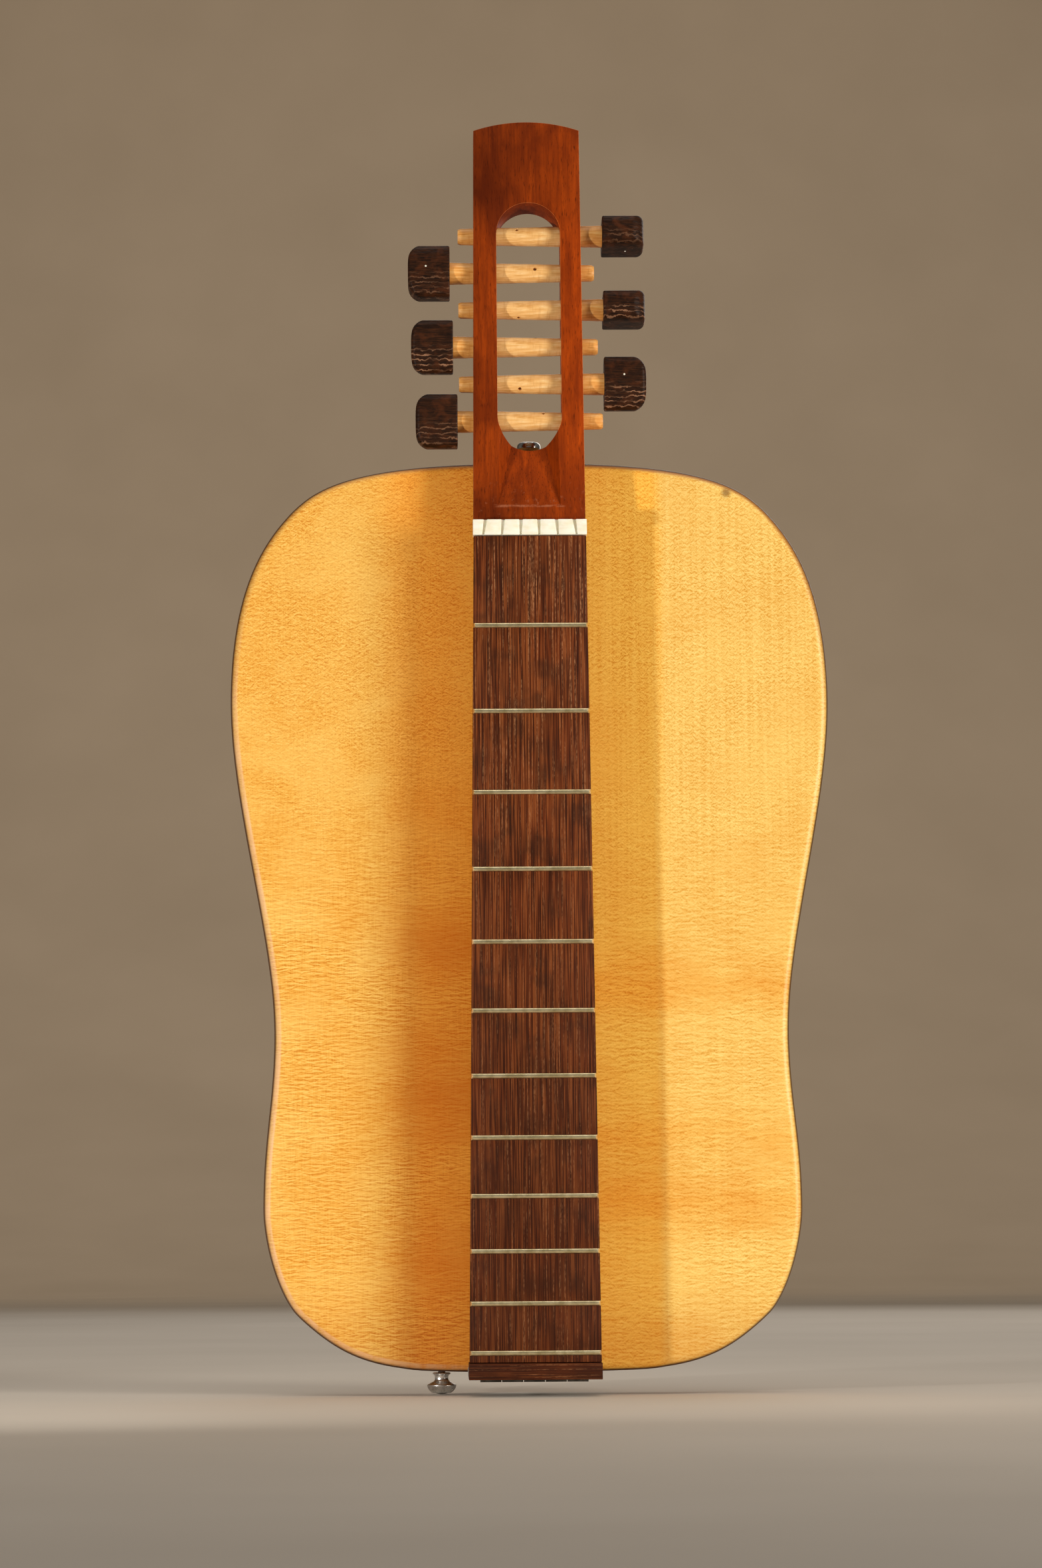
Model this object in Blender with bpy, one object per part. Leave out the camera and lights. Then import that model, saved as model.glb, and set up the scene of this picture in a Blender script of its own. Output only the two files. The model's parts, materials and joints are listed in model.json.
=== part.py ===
"""A six-string folding travel guitar, unstrung, with its neck folded onto its back.

The guitar stands on end: +X is to the viewer's right, +Y runs from the back plate to the
soundboard and +Z runs from the neck joint up to the tail. The origin is on the centreline,
half way through the body's depth, at the lowest point of the body's rim. All sizes are in
metres, written as millimetres times MM.
"""
import math

import bmesh
import bpy
from mathutils import Vector

MM = 0.001
GAP = 0.3 * MM                  # left between two pieces that touch
REACH = 200 * MM                # how far a cutter runs past what it cuts

# Body
BODY_DEPTH = 26.5 * MM
BACK_THICKNESS = 4.0 * MM
BACK_ROUNDING = 3.6 * MM
TOP_THICKNESS = 3.0 * MM
TOP_ROUNDING = 1.5 * MM
RIB_THICKNESS = 2.5 * MM
LINING_WIDTH = 5.0 * MM
LINING_HEIGHT = 6.0 * MM
SOUNDHOLE_RADIUS = 40.0 * MM
SOUNDHOLE_Z = 115.0 * MM
NECK_BLOCK_HALF_WIDTH = 46.0 * MM
NECK_BLOCK_TOP = 42.0 * MM
TAIL_BLOCK_HALF_WIDTH = 25.0 * MM
TAIL_BLOCK_HEIGHT = 16.0 * MM

# Bridge
BRIDGE_HALF_LENGTH = 78.0 * MM
BRIDGE_BLOCK_HALF_LENGTH = 42.0 * MM
BRIDGE_PITCH = 11.6 * MM
SADDLE_HALF_LENGTH = 37.0 * MM
TIE_HOLE_RADIUS = 0.8 * MM

# Neck and joint
SCALE_LENGTH = 650.0 * MM
STRING_COUNT = 6
FRET_COUNT = 12
BOARD_LENGTH = 329.0 * MM
BOARD_THICKNESS = 5.5 * MM
BOARD_ABOVE_BACK = 26.0 * MM    # playing face of the fingerboard above the back plate
BOARD_HALF_WIDTH_NUT = 22.5 * MM
BOARD_HALF_WIDTH_END = 26.0 * MM
NUT_LENGTH = 6.4 * MM
NUT_PROUD = 1.1 * MM
NECK_DEPTH = 14.2 * MM          # shaft alone, without the fingerboard
HEEL_CLEARANCE = 0.6 * MM
HEEL_RISE = 42.0 * MM
NECK_PLATE_THICKNESS = 6.5 * MM
BODY_PLATE_THICKNESS = 4.0 * MM
PLATE_HALF_WIDTH = 26.3 * MM
HINGE_BEHIND_BACK = 3.0 * MM    # the hinge's axis lies this far inside the back's surface
HINGE_Z = -2.35 * MM
SCARF_RUN = 42.0 * MM

# Headstock
HEAD_TILT = math.radians(5)
HEAD_THICKNESS = 15.0 * MM
HEAD_LENGTH = 168.0 * MM
HEAD_HALF_WIDTH_TIP = 21.5 * MM
CROWN_RISE = 3.6 * MM
SLOT_HALF_WIDTH = 13.0 * MM
SLOT_OFFSET = 0.5 * MM          # to the right of the headstock's centreline
SLOT_START = 31.2 * MM
SLOT_END = 133.7 * MM
RAMP_START = 6.4 * MM           # where the ramp from the nut into the slot begins
RAMP_DEPTH = 11.0 * MM
RAMP_HALF_WIDTH = 13.5 * MM
RAMP_FLOOR_HALF_WIDTH = 4.6 * MM

# Pegs
FIRST_PEG = 43.55 * MM
PEG_PITCH = 15.6 * MM
PEG_RADIUS_WIDE = 4.5 * MM
PEG_RADIUS_NARROW = 3.3 * MM
PEG_INNER_FACE = 30.0 * MM      # from the centreline to the head's flat face
PEG_FAR_END = 28.5 * MM
PEG_HEAD_LENGTH = 17.0 * MM
PEG_HEAD_HALF_HEIGHT = 11.0 * MM
PEG_HEAD_HALF_THICKNESS = 6.4 * MM
PEG_HEAD_DOME = 3.2 * MM
PEG_HEAD_DOME_POWER = 4         # a higher one leaves a flatter end
PEG_HEAD_SQUARENESS = 0.5       # 1 would be an ellipse, 0 a rectangle
PEG_TENON = 9.0 * MM
PEG_BORE_REACH = 27.0 * MM
PEG_CLEARANCE = 0.06 * MM
PEG_SIDES = 16
STRING_HOLE_RADIUS = 0.65 * MM
SMALL_HOLE_SIDES = 8
# From the nut to the tip: side of the head (-1 left, +1 right), the head's turn in degrees,
# how far the peg stands out, where its string hole is and the hole's turn.
PEGS = (
    (-1, 8.0, -1.7 * MM, 6.0 * MM, 45.0),
    (1, 12.0, 0.6 * MM, -3.3 * MM, -45.0),
    (-1, 12.0, 0.0 * MM, 3.0 * MM, 65.0),
    (1, 90.0, 0.5 * MM, -3.5 * MM, 110.0),
    (-1, 0.0, 1.2 * MM, 3.2 * MM, 12.0),
    (1, 86.0, 0.35 * MM, -4.0 * MM, 33.0),
)

# Hinge
LEAF_THICKNESS = 1.2 * MM
LEAF_LENGTH = 19.0 * MM
BARREL_RADIUS = 1.5 * MM
PIN_RADIUS = 0.75 * MM
BORE_RADIUS = 0.85 * MM
KNUCKLE_COUNT = 5
KNUCKLE_PITCH = 8.7 * MM
BORE_SIDES = 16
SCREW_SPREAD = 14.0 * MM

# Worked out from the driving dimensions
BACK_Y = -BODY_DEPTH / 2
FRONT_Y = BODY_DEPTH / 2
BACK_INSIDE_Y = BACK_Y + BACK_THICKNESS
TOP_INSIDE_Y = FRONT_Y - TOP_THICKNESS
HINGE_Y = BACK_Y + HINGE_BEHIND_BACK
JOINT_FACE_Z = HINGE_Z + GAP / 2
BOARD_END_Z = JOINT_FACE_Z + NECK_PLATE_THICKNESS
NUT_Z = BOARD_END_Z + BOARD_LENGTH
HEAD_START_Z = NUT_Z + NUT_LENGTH
BOARD_TOP_Y = BACK_Y - BOARD_ABOVE_BACK
NECK_FACE_Y = BOARD_TOP_Y + BOARD_THICKNESS + GAP
HEEL_Y = BACK_Y - HEEL_CLEARANCE
BODY_PLATE_TOP_Z = JOINT_FACE_Z + BODY_PLATE_THICKNESS
SEAT_Z = BODY_PLATE_TOP_Z + GAP
SEAT_HALF_WIDTH = PLATE_HALF_WIDTH + 0.2 * MM
HINGE_HALF_WIDTH = KNUCKLE_COUNT * KNUCKLE_PITCH / 2

# The right half of the body's outline, from the tail's centre to the neck joint's centre:
# x, z, heading in degrees, handle before, handle after, steps to the next knot.
OUTLINE_KNOTS = (
    (0.0, 367.3, 0.0, 0.0, 54.5, 7),
    (94.0, 349.5, -44.0, 18.5, 19.5, 8),
    (121.0, 269.0, -90.0, 46.5, 40.5, 8),
    (103.5, 136.0, -90.0, 37.0, 27.5, 6),
    (108.0, 65.5, -90.0, 29.0, 13.5, 6),
    (93.5, 22.0, -137.0, 12.0, 31.0, 7),
    (0.0, 0.0, -180.0, 57.0, 0.0, 0),
)

COLOURS = {
    "maple": ((0.80, 0.46, 0.14), 0.35, 0.0),
    "spruce": ((0.83, 0.60, 0.30), 0.45, 0.0),
    "mahogany": ((0.30, 0.065, 0.02), 0.4, 0.0),
    "wenge": ((0.055, 0.025, 0.016), 0.6, 0.0),
    "boxwood": ((0.76, 0.46, 0.17), 0.5, 0.0),
    "bone": ((0.93, 0.88, 0.74), 0.35, 0.0),
    "nickel_silver": ((0.62, 0.55, 0.33), 0.3, 1.0),
    "chrome": ((0.75, 0.75, 0.77), 0.12, 1.0),
    "steel": ((0.35, 0.34, 0.33), 0.4, 1.0),
}


def clear_scene():
    for item in list(bpy.data.objects):
        bpy.data.objects.remove(item, do_unlink=True)


def make_material(name):
    colour, roughness, metallic = COLOURS[name]
    material = bpy.data.materials.new(name)
    material.use_nodes = True
    shader = material.node_tree.nodes["Principled BSDF"]
    shader.inputs["Base Color"].default_value = (*colour, 1.0)
    shader.inputs["Roughness"].default_value = roughness
    shader.inputs["Metallic"].default_value = metallic
    return material


def add_empty(name, location, parent=None, tilt=0.0):
    empty = bpy.data.objects.new(name, None)
    empty.location = location
    empty.rotation_euler.x = tilt
    empty.parent = parent
    bpy.context.scene.collection.objects.link(empty)
    return empty


def add_solid(name, vertices, faces, material=None):
    """One closed mesh object, faces pointing out, round stretches shaded smooth."""
    mesh = bpy.data.meshes.new(name)
    mesh.from_pydata(vertices, [], faces)
    shape = bmesh.new()
    shape.from_mesh(mesh)
    bmesh.ops.connect_verts_nonplanar(shape, angle_limit=math.radians(0.5), faces=shape.faces)
    bmesh.ops.recalc_face_normals(shape, faces=shape.faces)
    shape.to_mesh(mesh)
    shape.free()
    mesh.shade_smooth()
    mesh.set_sharp_from_angle(angle=math.radians(35))
    solid = bpy.data.objects.new(name, mesh)
    bpy.context.scene.collection.objects.link(solid)
    if material is not None:
        mesh.materials.append(make_material(material))
    return solid


def loft(name, rings, material=None, closed=False):
    """Join equal rings of points in order. A closed loft has no end caps."""
    size = len(rings[0])
    vertices = [point for ring in rings for point in ring]
    faces = []
    bands = len(rings) if closed else len(rings) - 1
    for band in range(bands):
        low = band * size
        high = (band + 1) % len(rings) * size
        for i in range(size):
            j = (i + 1) % size
            faces.append((low + i, low + j, high + j, high + i))
    if not closed:
        faces.append(tuple(range(size)))
        faces.append(tuple(range(len(vertices) - size, len(vertices))))
    return add_solid(name, vertices, faces, material)


def prism(name, outline, axis, low, high, material=None):
    """Extrude a flat outline along X, Y or Z. Its points keep the order of the other two axes."""
    def lift(point, level):
        coordinates = list(point)
        coordinates.insert("XYZ".index(axis), level)
        return tuple(coordinates)

    rings = [[lift(point, level) for point in outline] for level in (low, high)]
    return loft(name, rings, material)


def box(name, low, high, material=None):
    outline = ((low[0], low[1]), (high[0], low[1]), (high[0], high[1]), (low[0], high[1]))
    return prism(name, outline, "Z", low[2], high[2], material)


def circle(radius, count, centre=(0.0, 0.0)):
    angles = [2 * math.pi * i / count for i in range(count)]
    return [(centre[0] + radius * math.cos(a), centre[1] + radius * math.sin(a)) for a in angles]


def in_millimetres(profile):
    return [(radius * MM, height * MM) for radius, height in profile]


def turned(name, profile, count, material=None, closed=False):
    """Turn a profile of (radius, height) points about local Z."""
    rings = [[(x, y, height) for x, y in circle(radius, count)] for radius, height in profile]
    return loft(name, rings, material, closed)


def combined(name, solids):
    """Put several cutters that don't meet into one object."""
    vertices = []
    faces = []
    for solid in solids:
        start = len(vertices)
        vertices += [solid.matrix_world @ v.co for v in solid.data.vertices]
        faces += [[start + i for i in face.vertices] for face in solid.data.polygons]
        bpy.data.objects.remove(solid, do_unlink=True)
    return add_solid(name, vertices, faces)


def apply_cut(solid, cutter, operation="DIFFERENCE"):
    cutter.hide_render = True
    cutter.display_type = "WIRE"
    modifier = solid.modifiers.new(cutter.name, "BOOLEAN")
    modifier.operation = operation
    modifier.solver = "EXACT"
    modifier.object = cutter


def attach(solid, parent):
    """Parent a solid modelled in world coordinates without moving it."""
    solid.parent = parent
    solid.location = -Vector(parent.location)
    return solid


def blend(a, b, share):
    return a + (b - a) * share


# The body's outline

def outline_half(inset=0.0):
    """Points of the right half of the outline, moved inwards by inset."""
    points = []
    for start, end in zip(OUTLINE_KNOTS, OUTLINE_KNOTS[1:]):
        heading_start = math.radians(start[2])
        heading_end = math.radians(end[2])
        p0 = Vector(start[:2])
        p3 = Vector(end[:2])
        p1 = p0 + start[4] * Vector((math.cos(heading_start), math.sin(heading_start)))
        p2 = p3 - end[3] * Vector((math.cos(heading_end), math.sin(heading_end)))
        last = end is OUTLINE_KNOTS[-1]
        for step in range(start[5] + last):
            t = step / start[5]
            u = 1 - t
            point = u**3 * p0 + 3 * u * u * t * p1 + 3 * u * t * t * p2 + t**3 * p3
            along = u * u * (p1 - p0) + 2 * u * t * (p2 - p1) + t * t * (p3 - p2)
            inwards = Vector((along.y, -along.x)).normalized()
            points.append(point * MM + inwards * inset)
    return points


def outline_full(inset=0.0):
    right = outline_half(inset)
    left = [Vector((-p.x, p.y)) for p in reversed(right[1:-1])]
    return right + left


def outline_clipped(inset, tail_x, joint_x):
    """The right half outline between x = tail_x at the tail and x = joint_x at the joint."""
    points = outline_half(inset)
    middle = max(range(len(points)), key=lambda i: points[i].x)
    upper = clip_run(list(reversed(points[:middle + 1])), tail_x)
    lower = clip_run(points[middle:], joint_x)
    return list(reversed(upper)) + lower[1:]


def clip_run(points, limit):
    """Keep a run of points until x falls below the limit, and end it exactly there."""
    kept = [points[0]]
    for before, after in zip(points, points[1:]):
        if after.x < limit:
            kept.append(before.lerp(after, (before.x - limit) / (before.x - after.x)))
            break
        kept.append(after)
    return kept


def half_width_at(z, inset):
    """Half the body's width at height z, measured inside an inset outline."""
    points = outline_half(inset)
    widths = []
    for before, after in zip(points, points[1:]):
        if min(before.y, after.y) <= z <= max(before.y, after.y) and before.y != after.y:
            widths.append(before.lerp(after, (before.y - z) / (before.y - after.y)).x)
    return max(widths)


def plate(name, outer_y, inner_y, rounding, steps, material):
    """A plate of the body's outline whose outer edge is rounded."""
    inwards = 1 if inner_y > outer_y else -1
    rings = []
    for step in range(steps + 1):
        angle = math.pi / 2 * step / steps
        inset = rounding * (1 - math.sin(angle))
        level = outer_y + inwards * rounding * (1 - math.cos(angle))
        rings.append([(p.x, level, p.y) for p in outline_full(inset)])
    rings.append([(p.x, inner_y, p.y) for p in outline_full()])
    return loft(name, rings, material)


def edge_strip(name, side, insets, ends, levels, material):
    """A strip that follows one side of the outline between two insets."""
    outer = outline_clipped(insets[0], *ends)
    inner = outline_clipped(insets[1], *ends)
    outline = [(side * p.x, p.y) for p in outer + list(reversed(inner))]
    return prism(name, outline, "Y", levels[0], levels[1], material)


# The body

def build_shell():
    back = plate("back_plate", BACK_Y, BACK_INSIDE_Y, BACK_ROUNDING, 4, "maple")
    top = plate("soundboard", FRONT_Y, TOP_INSIDE_Y, TOP_ROUNDING, 2, "spruce")
    seat_low = (-SEAT_HALF_WIDTH, -REACH, -REACH)
    seat_high = (SEAT_HALF_WIDTH, REACH, SEAT_Z)
    seat = box("joint_seat_cutter", seat_low, seat_high)
    apply_cut(back, seat)
    apply_cut(top, seat)
    hole_ring = circle(SOUNDHOLE_RADIUS, 40, (0.0, SOUNDHOLE_Z))
    hole = prism("soundhole_cutter", hole_ring, "Y", 0.0, REACH)
    apply_cut(top, hole)
    rib_levels = (BACK_INSIDE_Y + GAP, TOP_INSIDE_Y - GAP)
    lining_insets = (RIB_THICKNESS + GAP, RIB_THICKNESS + GAP + LINING_WIDTH)
    lining_ends = (TAIL_BLOCK_HALF_WIDTH + GAP, NECK_BLOCK_HALF_WIDTH + GAP)
    ribs = []
    for side, label in ((-1, "left"), (1, "right")):
        ends = (GAP / 2, SEAT_HALF_WIDTH)
        ribs.append(edge_strip(f"rib_{label}", side, (0.0, RIB_THICKNESS), ends, rib_levels, "maple"))
        for place, low in (("back", rib_levels[0]), ("top", rib_levels[1] - LINING_HEIGHT)):
            levels = (low, low + LINING_HEIGHT)
            edge_strip(f"{place}_lining_{label}", side, lining_insets, lining_ends, levels, "spruce")
    return ribs


def build_blocks():
    low_y = BACK_INSIDE_Y + GAP
    high_y = TOP_INSIDE_Y - GAP
    shoulder_z = 4.2 * MM
    step_x = SEAT_HALF_WIDTH - GAP
    outline = []
    for side in (-1, 1):
        half = [
            (NECK_BLOCK_HALF_WIDTH, NECK_BLOCK_TOP),
            (NECK_BLOCK_HALF_WIDTH, shoulder_z),
            (step_x, shoulder_z),
            (step_x, SEAT_Z),
        ]
        outline += [(side * x, z) for x, z in (half if side < 0 else reversed(half))]
    neck_block = prism("neck_block", outline, "Y", low_y, high_y, "mahogany")
    tail_z = OUTLINE_KNOTS[0][1] * MM - RIB_THICKNESS - 2 * GAP
    tail_block = box(
        "tail_block",
        (-TAIL_BLOCK_HALF_WIDTH, low_y, tail_z - TAIL_BLOCK_HEIGHT),
        (TAIL_BLOCK_HALF_WIDTH, high_y, tail_z),
        "mahogany",
    )
    return neck_block, tail_block


def brace_bar(name, z, width, height, base_y, inwards, material="spruce"):
    """A bar across the body, glued to a plate at base_y, with its inner edge chamfered."""
    half_length = half_width_at(z, RIB_THICKNESS + LINING_WIDTH + 4 * GAP)
    chamfer = width / 3
    outline = (
        (base_y, z - width / 2),
        (base_y + inwards * (height - chamfer), z - width / 2),
        (base_y + inwards * height, z - width / 2 + chamfer),
        (base_y + inwards * height, z + width / 2 - chamfer),
        (base_y + inwards * (height - chamfer), z + width / 2),
        (base_y, z + width / 2),
    )
    prism(name, outline, "X", -half_length, half_length, material)


def build_braces():
    back_base = BACK_INSIDE_Y + GAP
    top_base = TOP_INSIDE_Y - GAP
    for label, z in (("lower", 92.0), ("middle", 185.0), ("upper", 278.0)):
        brace_bar(f"back_brace_{label}", z * MM, 7.0 * MM, 9.0 * MM, back_base, 1)
    for label, z in (("lower", 66.0), ("upper", 164.0)):
        brace_bar(f"harmonic_bar_{label}", z * MM, 6.0 * MM, 11.0 * MM, top_base, -1)
    for side, label in ((-1, "left"), (1, "right")):
        start = (side * 24.0 * MM, 172.0 * MM)
        end = (side * 42.0 * MM, 338.0 * MM)
        half = 2.5 * MM
        outline = (
            (start[0] - half, start[1]),
            (start[0] + half, start[1]),
            (end[0] + half, end[1]),
            (end[0] - half, end[1]),
        )
        prism(f"fan_brace_{label}", outline, "Y", top_base - 5.0 * MM, top_base, "spruce")


def build_bridge():
    """A tie bridge, placed so that the saddle is one scale length from the unfolded nut."""
    base_y = FRONT_Y + GAP
    saddle_z = 2 * HINGE_Z - NUT_Z + SCALE_LENGTH
    saddle_half = 1.4 * MM
    slot_half = saddle_half + 0.15 * MM
    crest = 8.5 * MM
    profile = (
        (base_y, saddle_z - 8.0 * MM),
        (base_y + 3.0 * MM, saddle_z - 8.0 * MM),
        (base_y + crest, saddle_z - 4.0 * MM),
        (base_y + crest, saddle_z + 4.0 * MM),
        (base_y + 5.0 * MM, saddle_z + 7.0 * MM),
        (base_y + 5.0 * MM, saddle_z + 9.0 * MM),
        (base_y + 8.0 * MM, saddle_z + 9.5 * MM),
        (base_y + 8.0 * MM, saddle_z + 18.5 * MM),
        (base_y, saddle_z + 18.5 * MM),
    )
    bridge = prism("bridge", profile, "X", -BRIDGE_BLOCK_HALF_LENGTH, BRIDGE_BLOCK_HALF_LENGTH, "wenge")
    wing_low = (-BRIDGE_HALF_LENGTH, base_y, saddle_z - 7.0 * MM)
    wing_high = (BRIDGE_HALF_LENGTH, base_y + 2.8 * MM, saddle_z + 17.5 * MM)
    wings = box("bridge_wings", wing_low, wing_high)
    apply_cut(bridge, wings, "UNION")
    slot_end = SADDLE_HALF_LENGTH + GAP
    slot_low = (-slot_end, base_y + 4.0 * MM, saddle_z - slot_half)
    slot_high = (slot_end, base_y + REACH, saddle_z + slot_half)
    apply_cut(bridge, box("saddle_slot_cutter", slot_low, slot_high))
    holes = []
    for string in range(STRING_COUNT):
        place = string - (STRING_COUNT - 1) / 2
        tie = circle(TIE_HOLE_RADIUS, SMALL_HOLE_SIDES, (place * BRIDGE_PITCH, base_y + 4.0 * MM))
        holes.append(prism("tie_hole", tie, "Z", saddle_z + 8.0 * MM, saddle_z + 20.0 * MM))
    apply_cut(bridge, combined("tie_hole_cutter", holes))
    saddle_outline = (
        (base_y + 4.3 * MM, saddle_z - saddle_half),
        (base_y + 10.6 * MM, saddle_z - saddle_half),
        (base_y + 11.4 * MM, saddle_z),
        (base_y + 10.6 * MM, saddle_z + saddle_half),
        (base_y + 4.3 * MM, saddle_z + saddle_half),
    )
    prism("saddle", saddle_outline, "X", -SADDLE_HALF_LENGTH, SADDLE_HALF_LENGTH, "bone")


def build_strap_button(label, x, z, direction, drilled):
    """A turned button on the rim, with a round-headed wood screw.

    Direction is 1 for the tall narrow one that points up, -1 for the low wide one.
    """
    turn = 0.0
    profile = [
        (2.0, 0.0), (3.6, 0.0), (3.6, 0.9), (2.7, 1.5), (2.7, 5.0), (4.8, 7.3),
        (4.8, 8.3), (4.25, 9.5), (3.5, 10.15), (2.0, 8.6),
    ]
    screw_profile = [
        (0.4, -16.0), (1.5, -13.0), (1.5, 8.4), (2.9, 9.9), (2.4, 10.25), (1.2, 10.4),
    ]
    if direction < 0:
        turn = math.pi
        profile = [
            (2.0, 0.0), (3.6, 0.0), (3.6, 0.9), (2.7, 1.5), (2.7, 3.2), (5.9, 4.85),
            (5.9, 5.45), (5.2, 6.9), (3.7, 8.25), (2.0, 6.6),
        ]
        screw_profile = [
            (0.4, -16.0), (1.5, -13.0), (1.5, 6.5), (3.1, 8.1), (2.4, 8.45), (1.2, 8.6),
        ]
    drill_profile = [(2.0, -17.0), (2.0, 1.0)]
    button = turned(f"strap_button_{label}", in_millimetres(profile), 20, "chrome", True)
    screw = turned(f"strap_screw_{label}", in_millimetres(screw_profile), 12, "steel")
    cutter = turned(f"strap_screw_{label}_cutter", in_millimetres(drill_profile), 12)
    for solid in (button, screw, cutter):
        solid.location = (x, 0.0, z)
        solid.rotation_euler.x = turn
    for solid in drilled:
        apply_cut(solid, cutter)


# The hinge and the two end plates

def countersink(name, x, y, material=None):
    """A wood screw's shape, pointing up from the joint's face, or the cutter for it."""
    room = 0.0 if material else 0.3
    profile = [
        (3.0 + room, 0.15 if material else -2.0),
        (3.0 + room, 0.2),
        (1.5 + room, 1.3),
        (1.5 + room, 12.0),
        (0.3 + room, 14.0 + room),
    ]
    screw = turned(name, in_millimetres(profile), 12, material)
    screw.location = (x, y, JOINT_FACE_Z)
    return screw


def hinge_leaf(name, direction, knuckles):
    """A leaf flat in the joint's face. Direction is +1 towards the body, -1 towards the neck."""
    clear = BARREL_RADIUS + GAP
    inner = HINGE_Y + direction * clear
    outer = HINGE_Y + direction * LEAF_LENGTH
    half = HINGE_HALF_WIDTH - GAP / 2
    reach = KNUCKLE_PITCH / 2 - GAP / 2
    tongue = reach - 0.1 * MM
    outline = [(-half, outer), (-half, inner)]
    barrels = []
    for index in knuckles:
        centre = (index - (KNUCKLE_COUNT - 1) / 2) * KNUCKLE_PITCH
        outline += [(centre - tongue, inner), (centre - tongue, HINGE_Y)]
        outline += [(centre + tongue, HINGE_Y), (centre + tongue, inner)]
        ring = circle(BARREL_RADIUS, BORE_SIDES, (HINGE_Y, HINGE_Z))
        barrels.append(prism("knuckle", ring, "X", centre - reach, centre + reach))
    outline += [(half, inner), (half, outer)]
    leaf = prism(name, outline, "Z", JOINT_FACE_Z, JOINT_FACE_Z + LEAF_THICKNESS, "steel")
    apply_cut(leaf, combined(f"{name}_knuckles", barrels), "UNION")
    bore_ring = circle(BORE_RADIUS, BORE_SIDES, (HINGE_Y, HINGE_Z))
    bore = prism(f"{name}_bore", bore_ring, "X", -REACH, REACH)
    apply_cut(leaf, bore)
    return leaf


def build_hinge(hinge_axis, neck_block):
    body_leaf = hinge_leaf("hinge_leaf_body", 1, (0, 2, 4))
    neck_leaf = hinge_leaf("hinge_leaf_neck", -1, (1, 3))
    pin_ring = circle(PIN_RADIUS, BORE_SIDES, (HINGE_Y, HINGE_Z))
    prism("hinge_pin", pin_ring, "X", -HINGE_HALF_WIDTH, HINGE_HALF_WIDTH, "steel")

    recess_half = HINGE_HALF_WIDTH + GAP
    recess_z = JOINT_FACE_Z + LEAF_THICKNESS + GAP
    recess_y = LEAF_LENGTH + GAP
    recess = box(
        "leaf_recess_cutter",
        (-recess_half, HINGE_Y - recess_y, -REACH),
        (recess_half, HINGE_Y + recess_y, recess_z),
    )
    plate_start = HINGE_Y + BARREL_RADIUS + 2 * GAP
    body_plate = box(
        "joint_plate_body",
        (-PLATE_HALF_WIDTH + 0.1 * MM, plate_start, JOINT_FACE_Z),
        (PLATE_HALF_WIDTH - 0.1 * MM, FRONT_Y, BODY_PLATE_TOP_Z),
        "wenge",
    )
    corner = 4.0 * MM
    plate_outline = [(PLATE_HALF_WIDTH, BOARD_TOP_Y), (PLATE_HALF_WIDTH, HEEL_Y - corner)]
    for step in (1, 2, 3):
        angle = math.radians(30 * step)
        x = PLATE_HALF_WIDTH - corner * (1 - math.cos(angle))
        plate_outline.append((x, HEEL_Y - corner * (1 - math.sin(angle))))
    plate_outline += [(-x, y) for x, y in reversed(plate_outline)]
    neck_plate = prism("joint_plate_neck", plate_outline, "Z", JOINT_FACE_Z, BOARD_END_Z, "wenge")
    apply_cut(body_plate, recess)
    apply_cut(neck_plate, recess)
    attach(neck_leaf, hinge_axis)
    attach(neck_plate, hinge_axis)

    drilled = {"body": (body_leaf, body_plate, neck_block), "neck": (neck_leaf, neck_plate)}
    neck_cutters = []
    screw_y = {"body": HINGE_Y + 0.55 * LEAF_LENGTH, "neck": HINGE_Y - 0.62 * LEAF_LENGTH}
    for place, y in screw_y.items():
        for side, label in ((-1, "left"), (1, "right")):
            screw = countersink(f"hinge_screw_{place}_{label}", side * SCREW_SPREAD, y, "steel")
            cutter = countersink(f"hinge_screw_{place}_{label}_cutter", side * SCREW_SPREAD, y)
            if place == "neck":
                screw.parent = hinge_axis
                screw.location -= hinge_axis.location
                neck_cutters.append(cutter)
            for solid in drilled[place]:
                apply_cut(solid, cutter)
    return neck_cutters


# The neck

def board_half_width(z):
    share = (NUT_Z - z) / BOARD_LENGTH
    return blend(BOARD_HALF_WIDTH_NUT, BOARD_HALF_WIDTH_END, share)


def neck_section(z, face_y, half_width, depth, squareness):
    """A ring with a flat face and a rounded back: a half ellipse or a rounded rectangle."""
    corner = 2.5 * MM
    square = [(1.0, 0.0), (1.0, 0.5 * (1 - corner / depth)), (1.0, 1 - corner / depth)]
    for angle in (30, 60, 90):
        a = math.radians(angle)
        across = 1 - corner / half_width * (1 - math.cos(a))
        square.append((across, 1 - corner / depth * (1 - math.sin(a))))
    square += [(0.6, 1.0), (0.3, 1.0), (0.0, 1.0)]
    half = []
    for i, (across, down) in enumerate(square):
        angle = math.pi / 2 * i / (len(square) - 1)
        round_across = max(math.cos(angle), 0.0) ** 0.85
        round_down = math.sin(angle) ** 0.85
        x = half_width * blend(round_across, across, squareness)
        y = face_y + depth * blend(round_down, down, squareness)
        half.append((x, y, z))
    mirrored = [(-x, y, z) for x, y, z in reversed(half[:-1])]
    return half + mirrored


def head_face_y(z):
    return NECK_FACE_Y + (z - HEAD_START_Z) * math.tan(HEAD_TILT)


def head_half_width(z):
    tip_z = HEAD_START_Z + HEAD_LENGTH * math.cos(HEAD_TILT)
    share = (z - HEAD_START_Z) / (tip_z - HEAD_START_Z)
    return blend(BOARD_HALF_WIDTH_NUT, HEAD_HALF_WIDTH_TIP, share)


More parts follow.
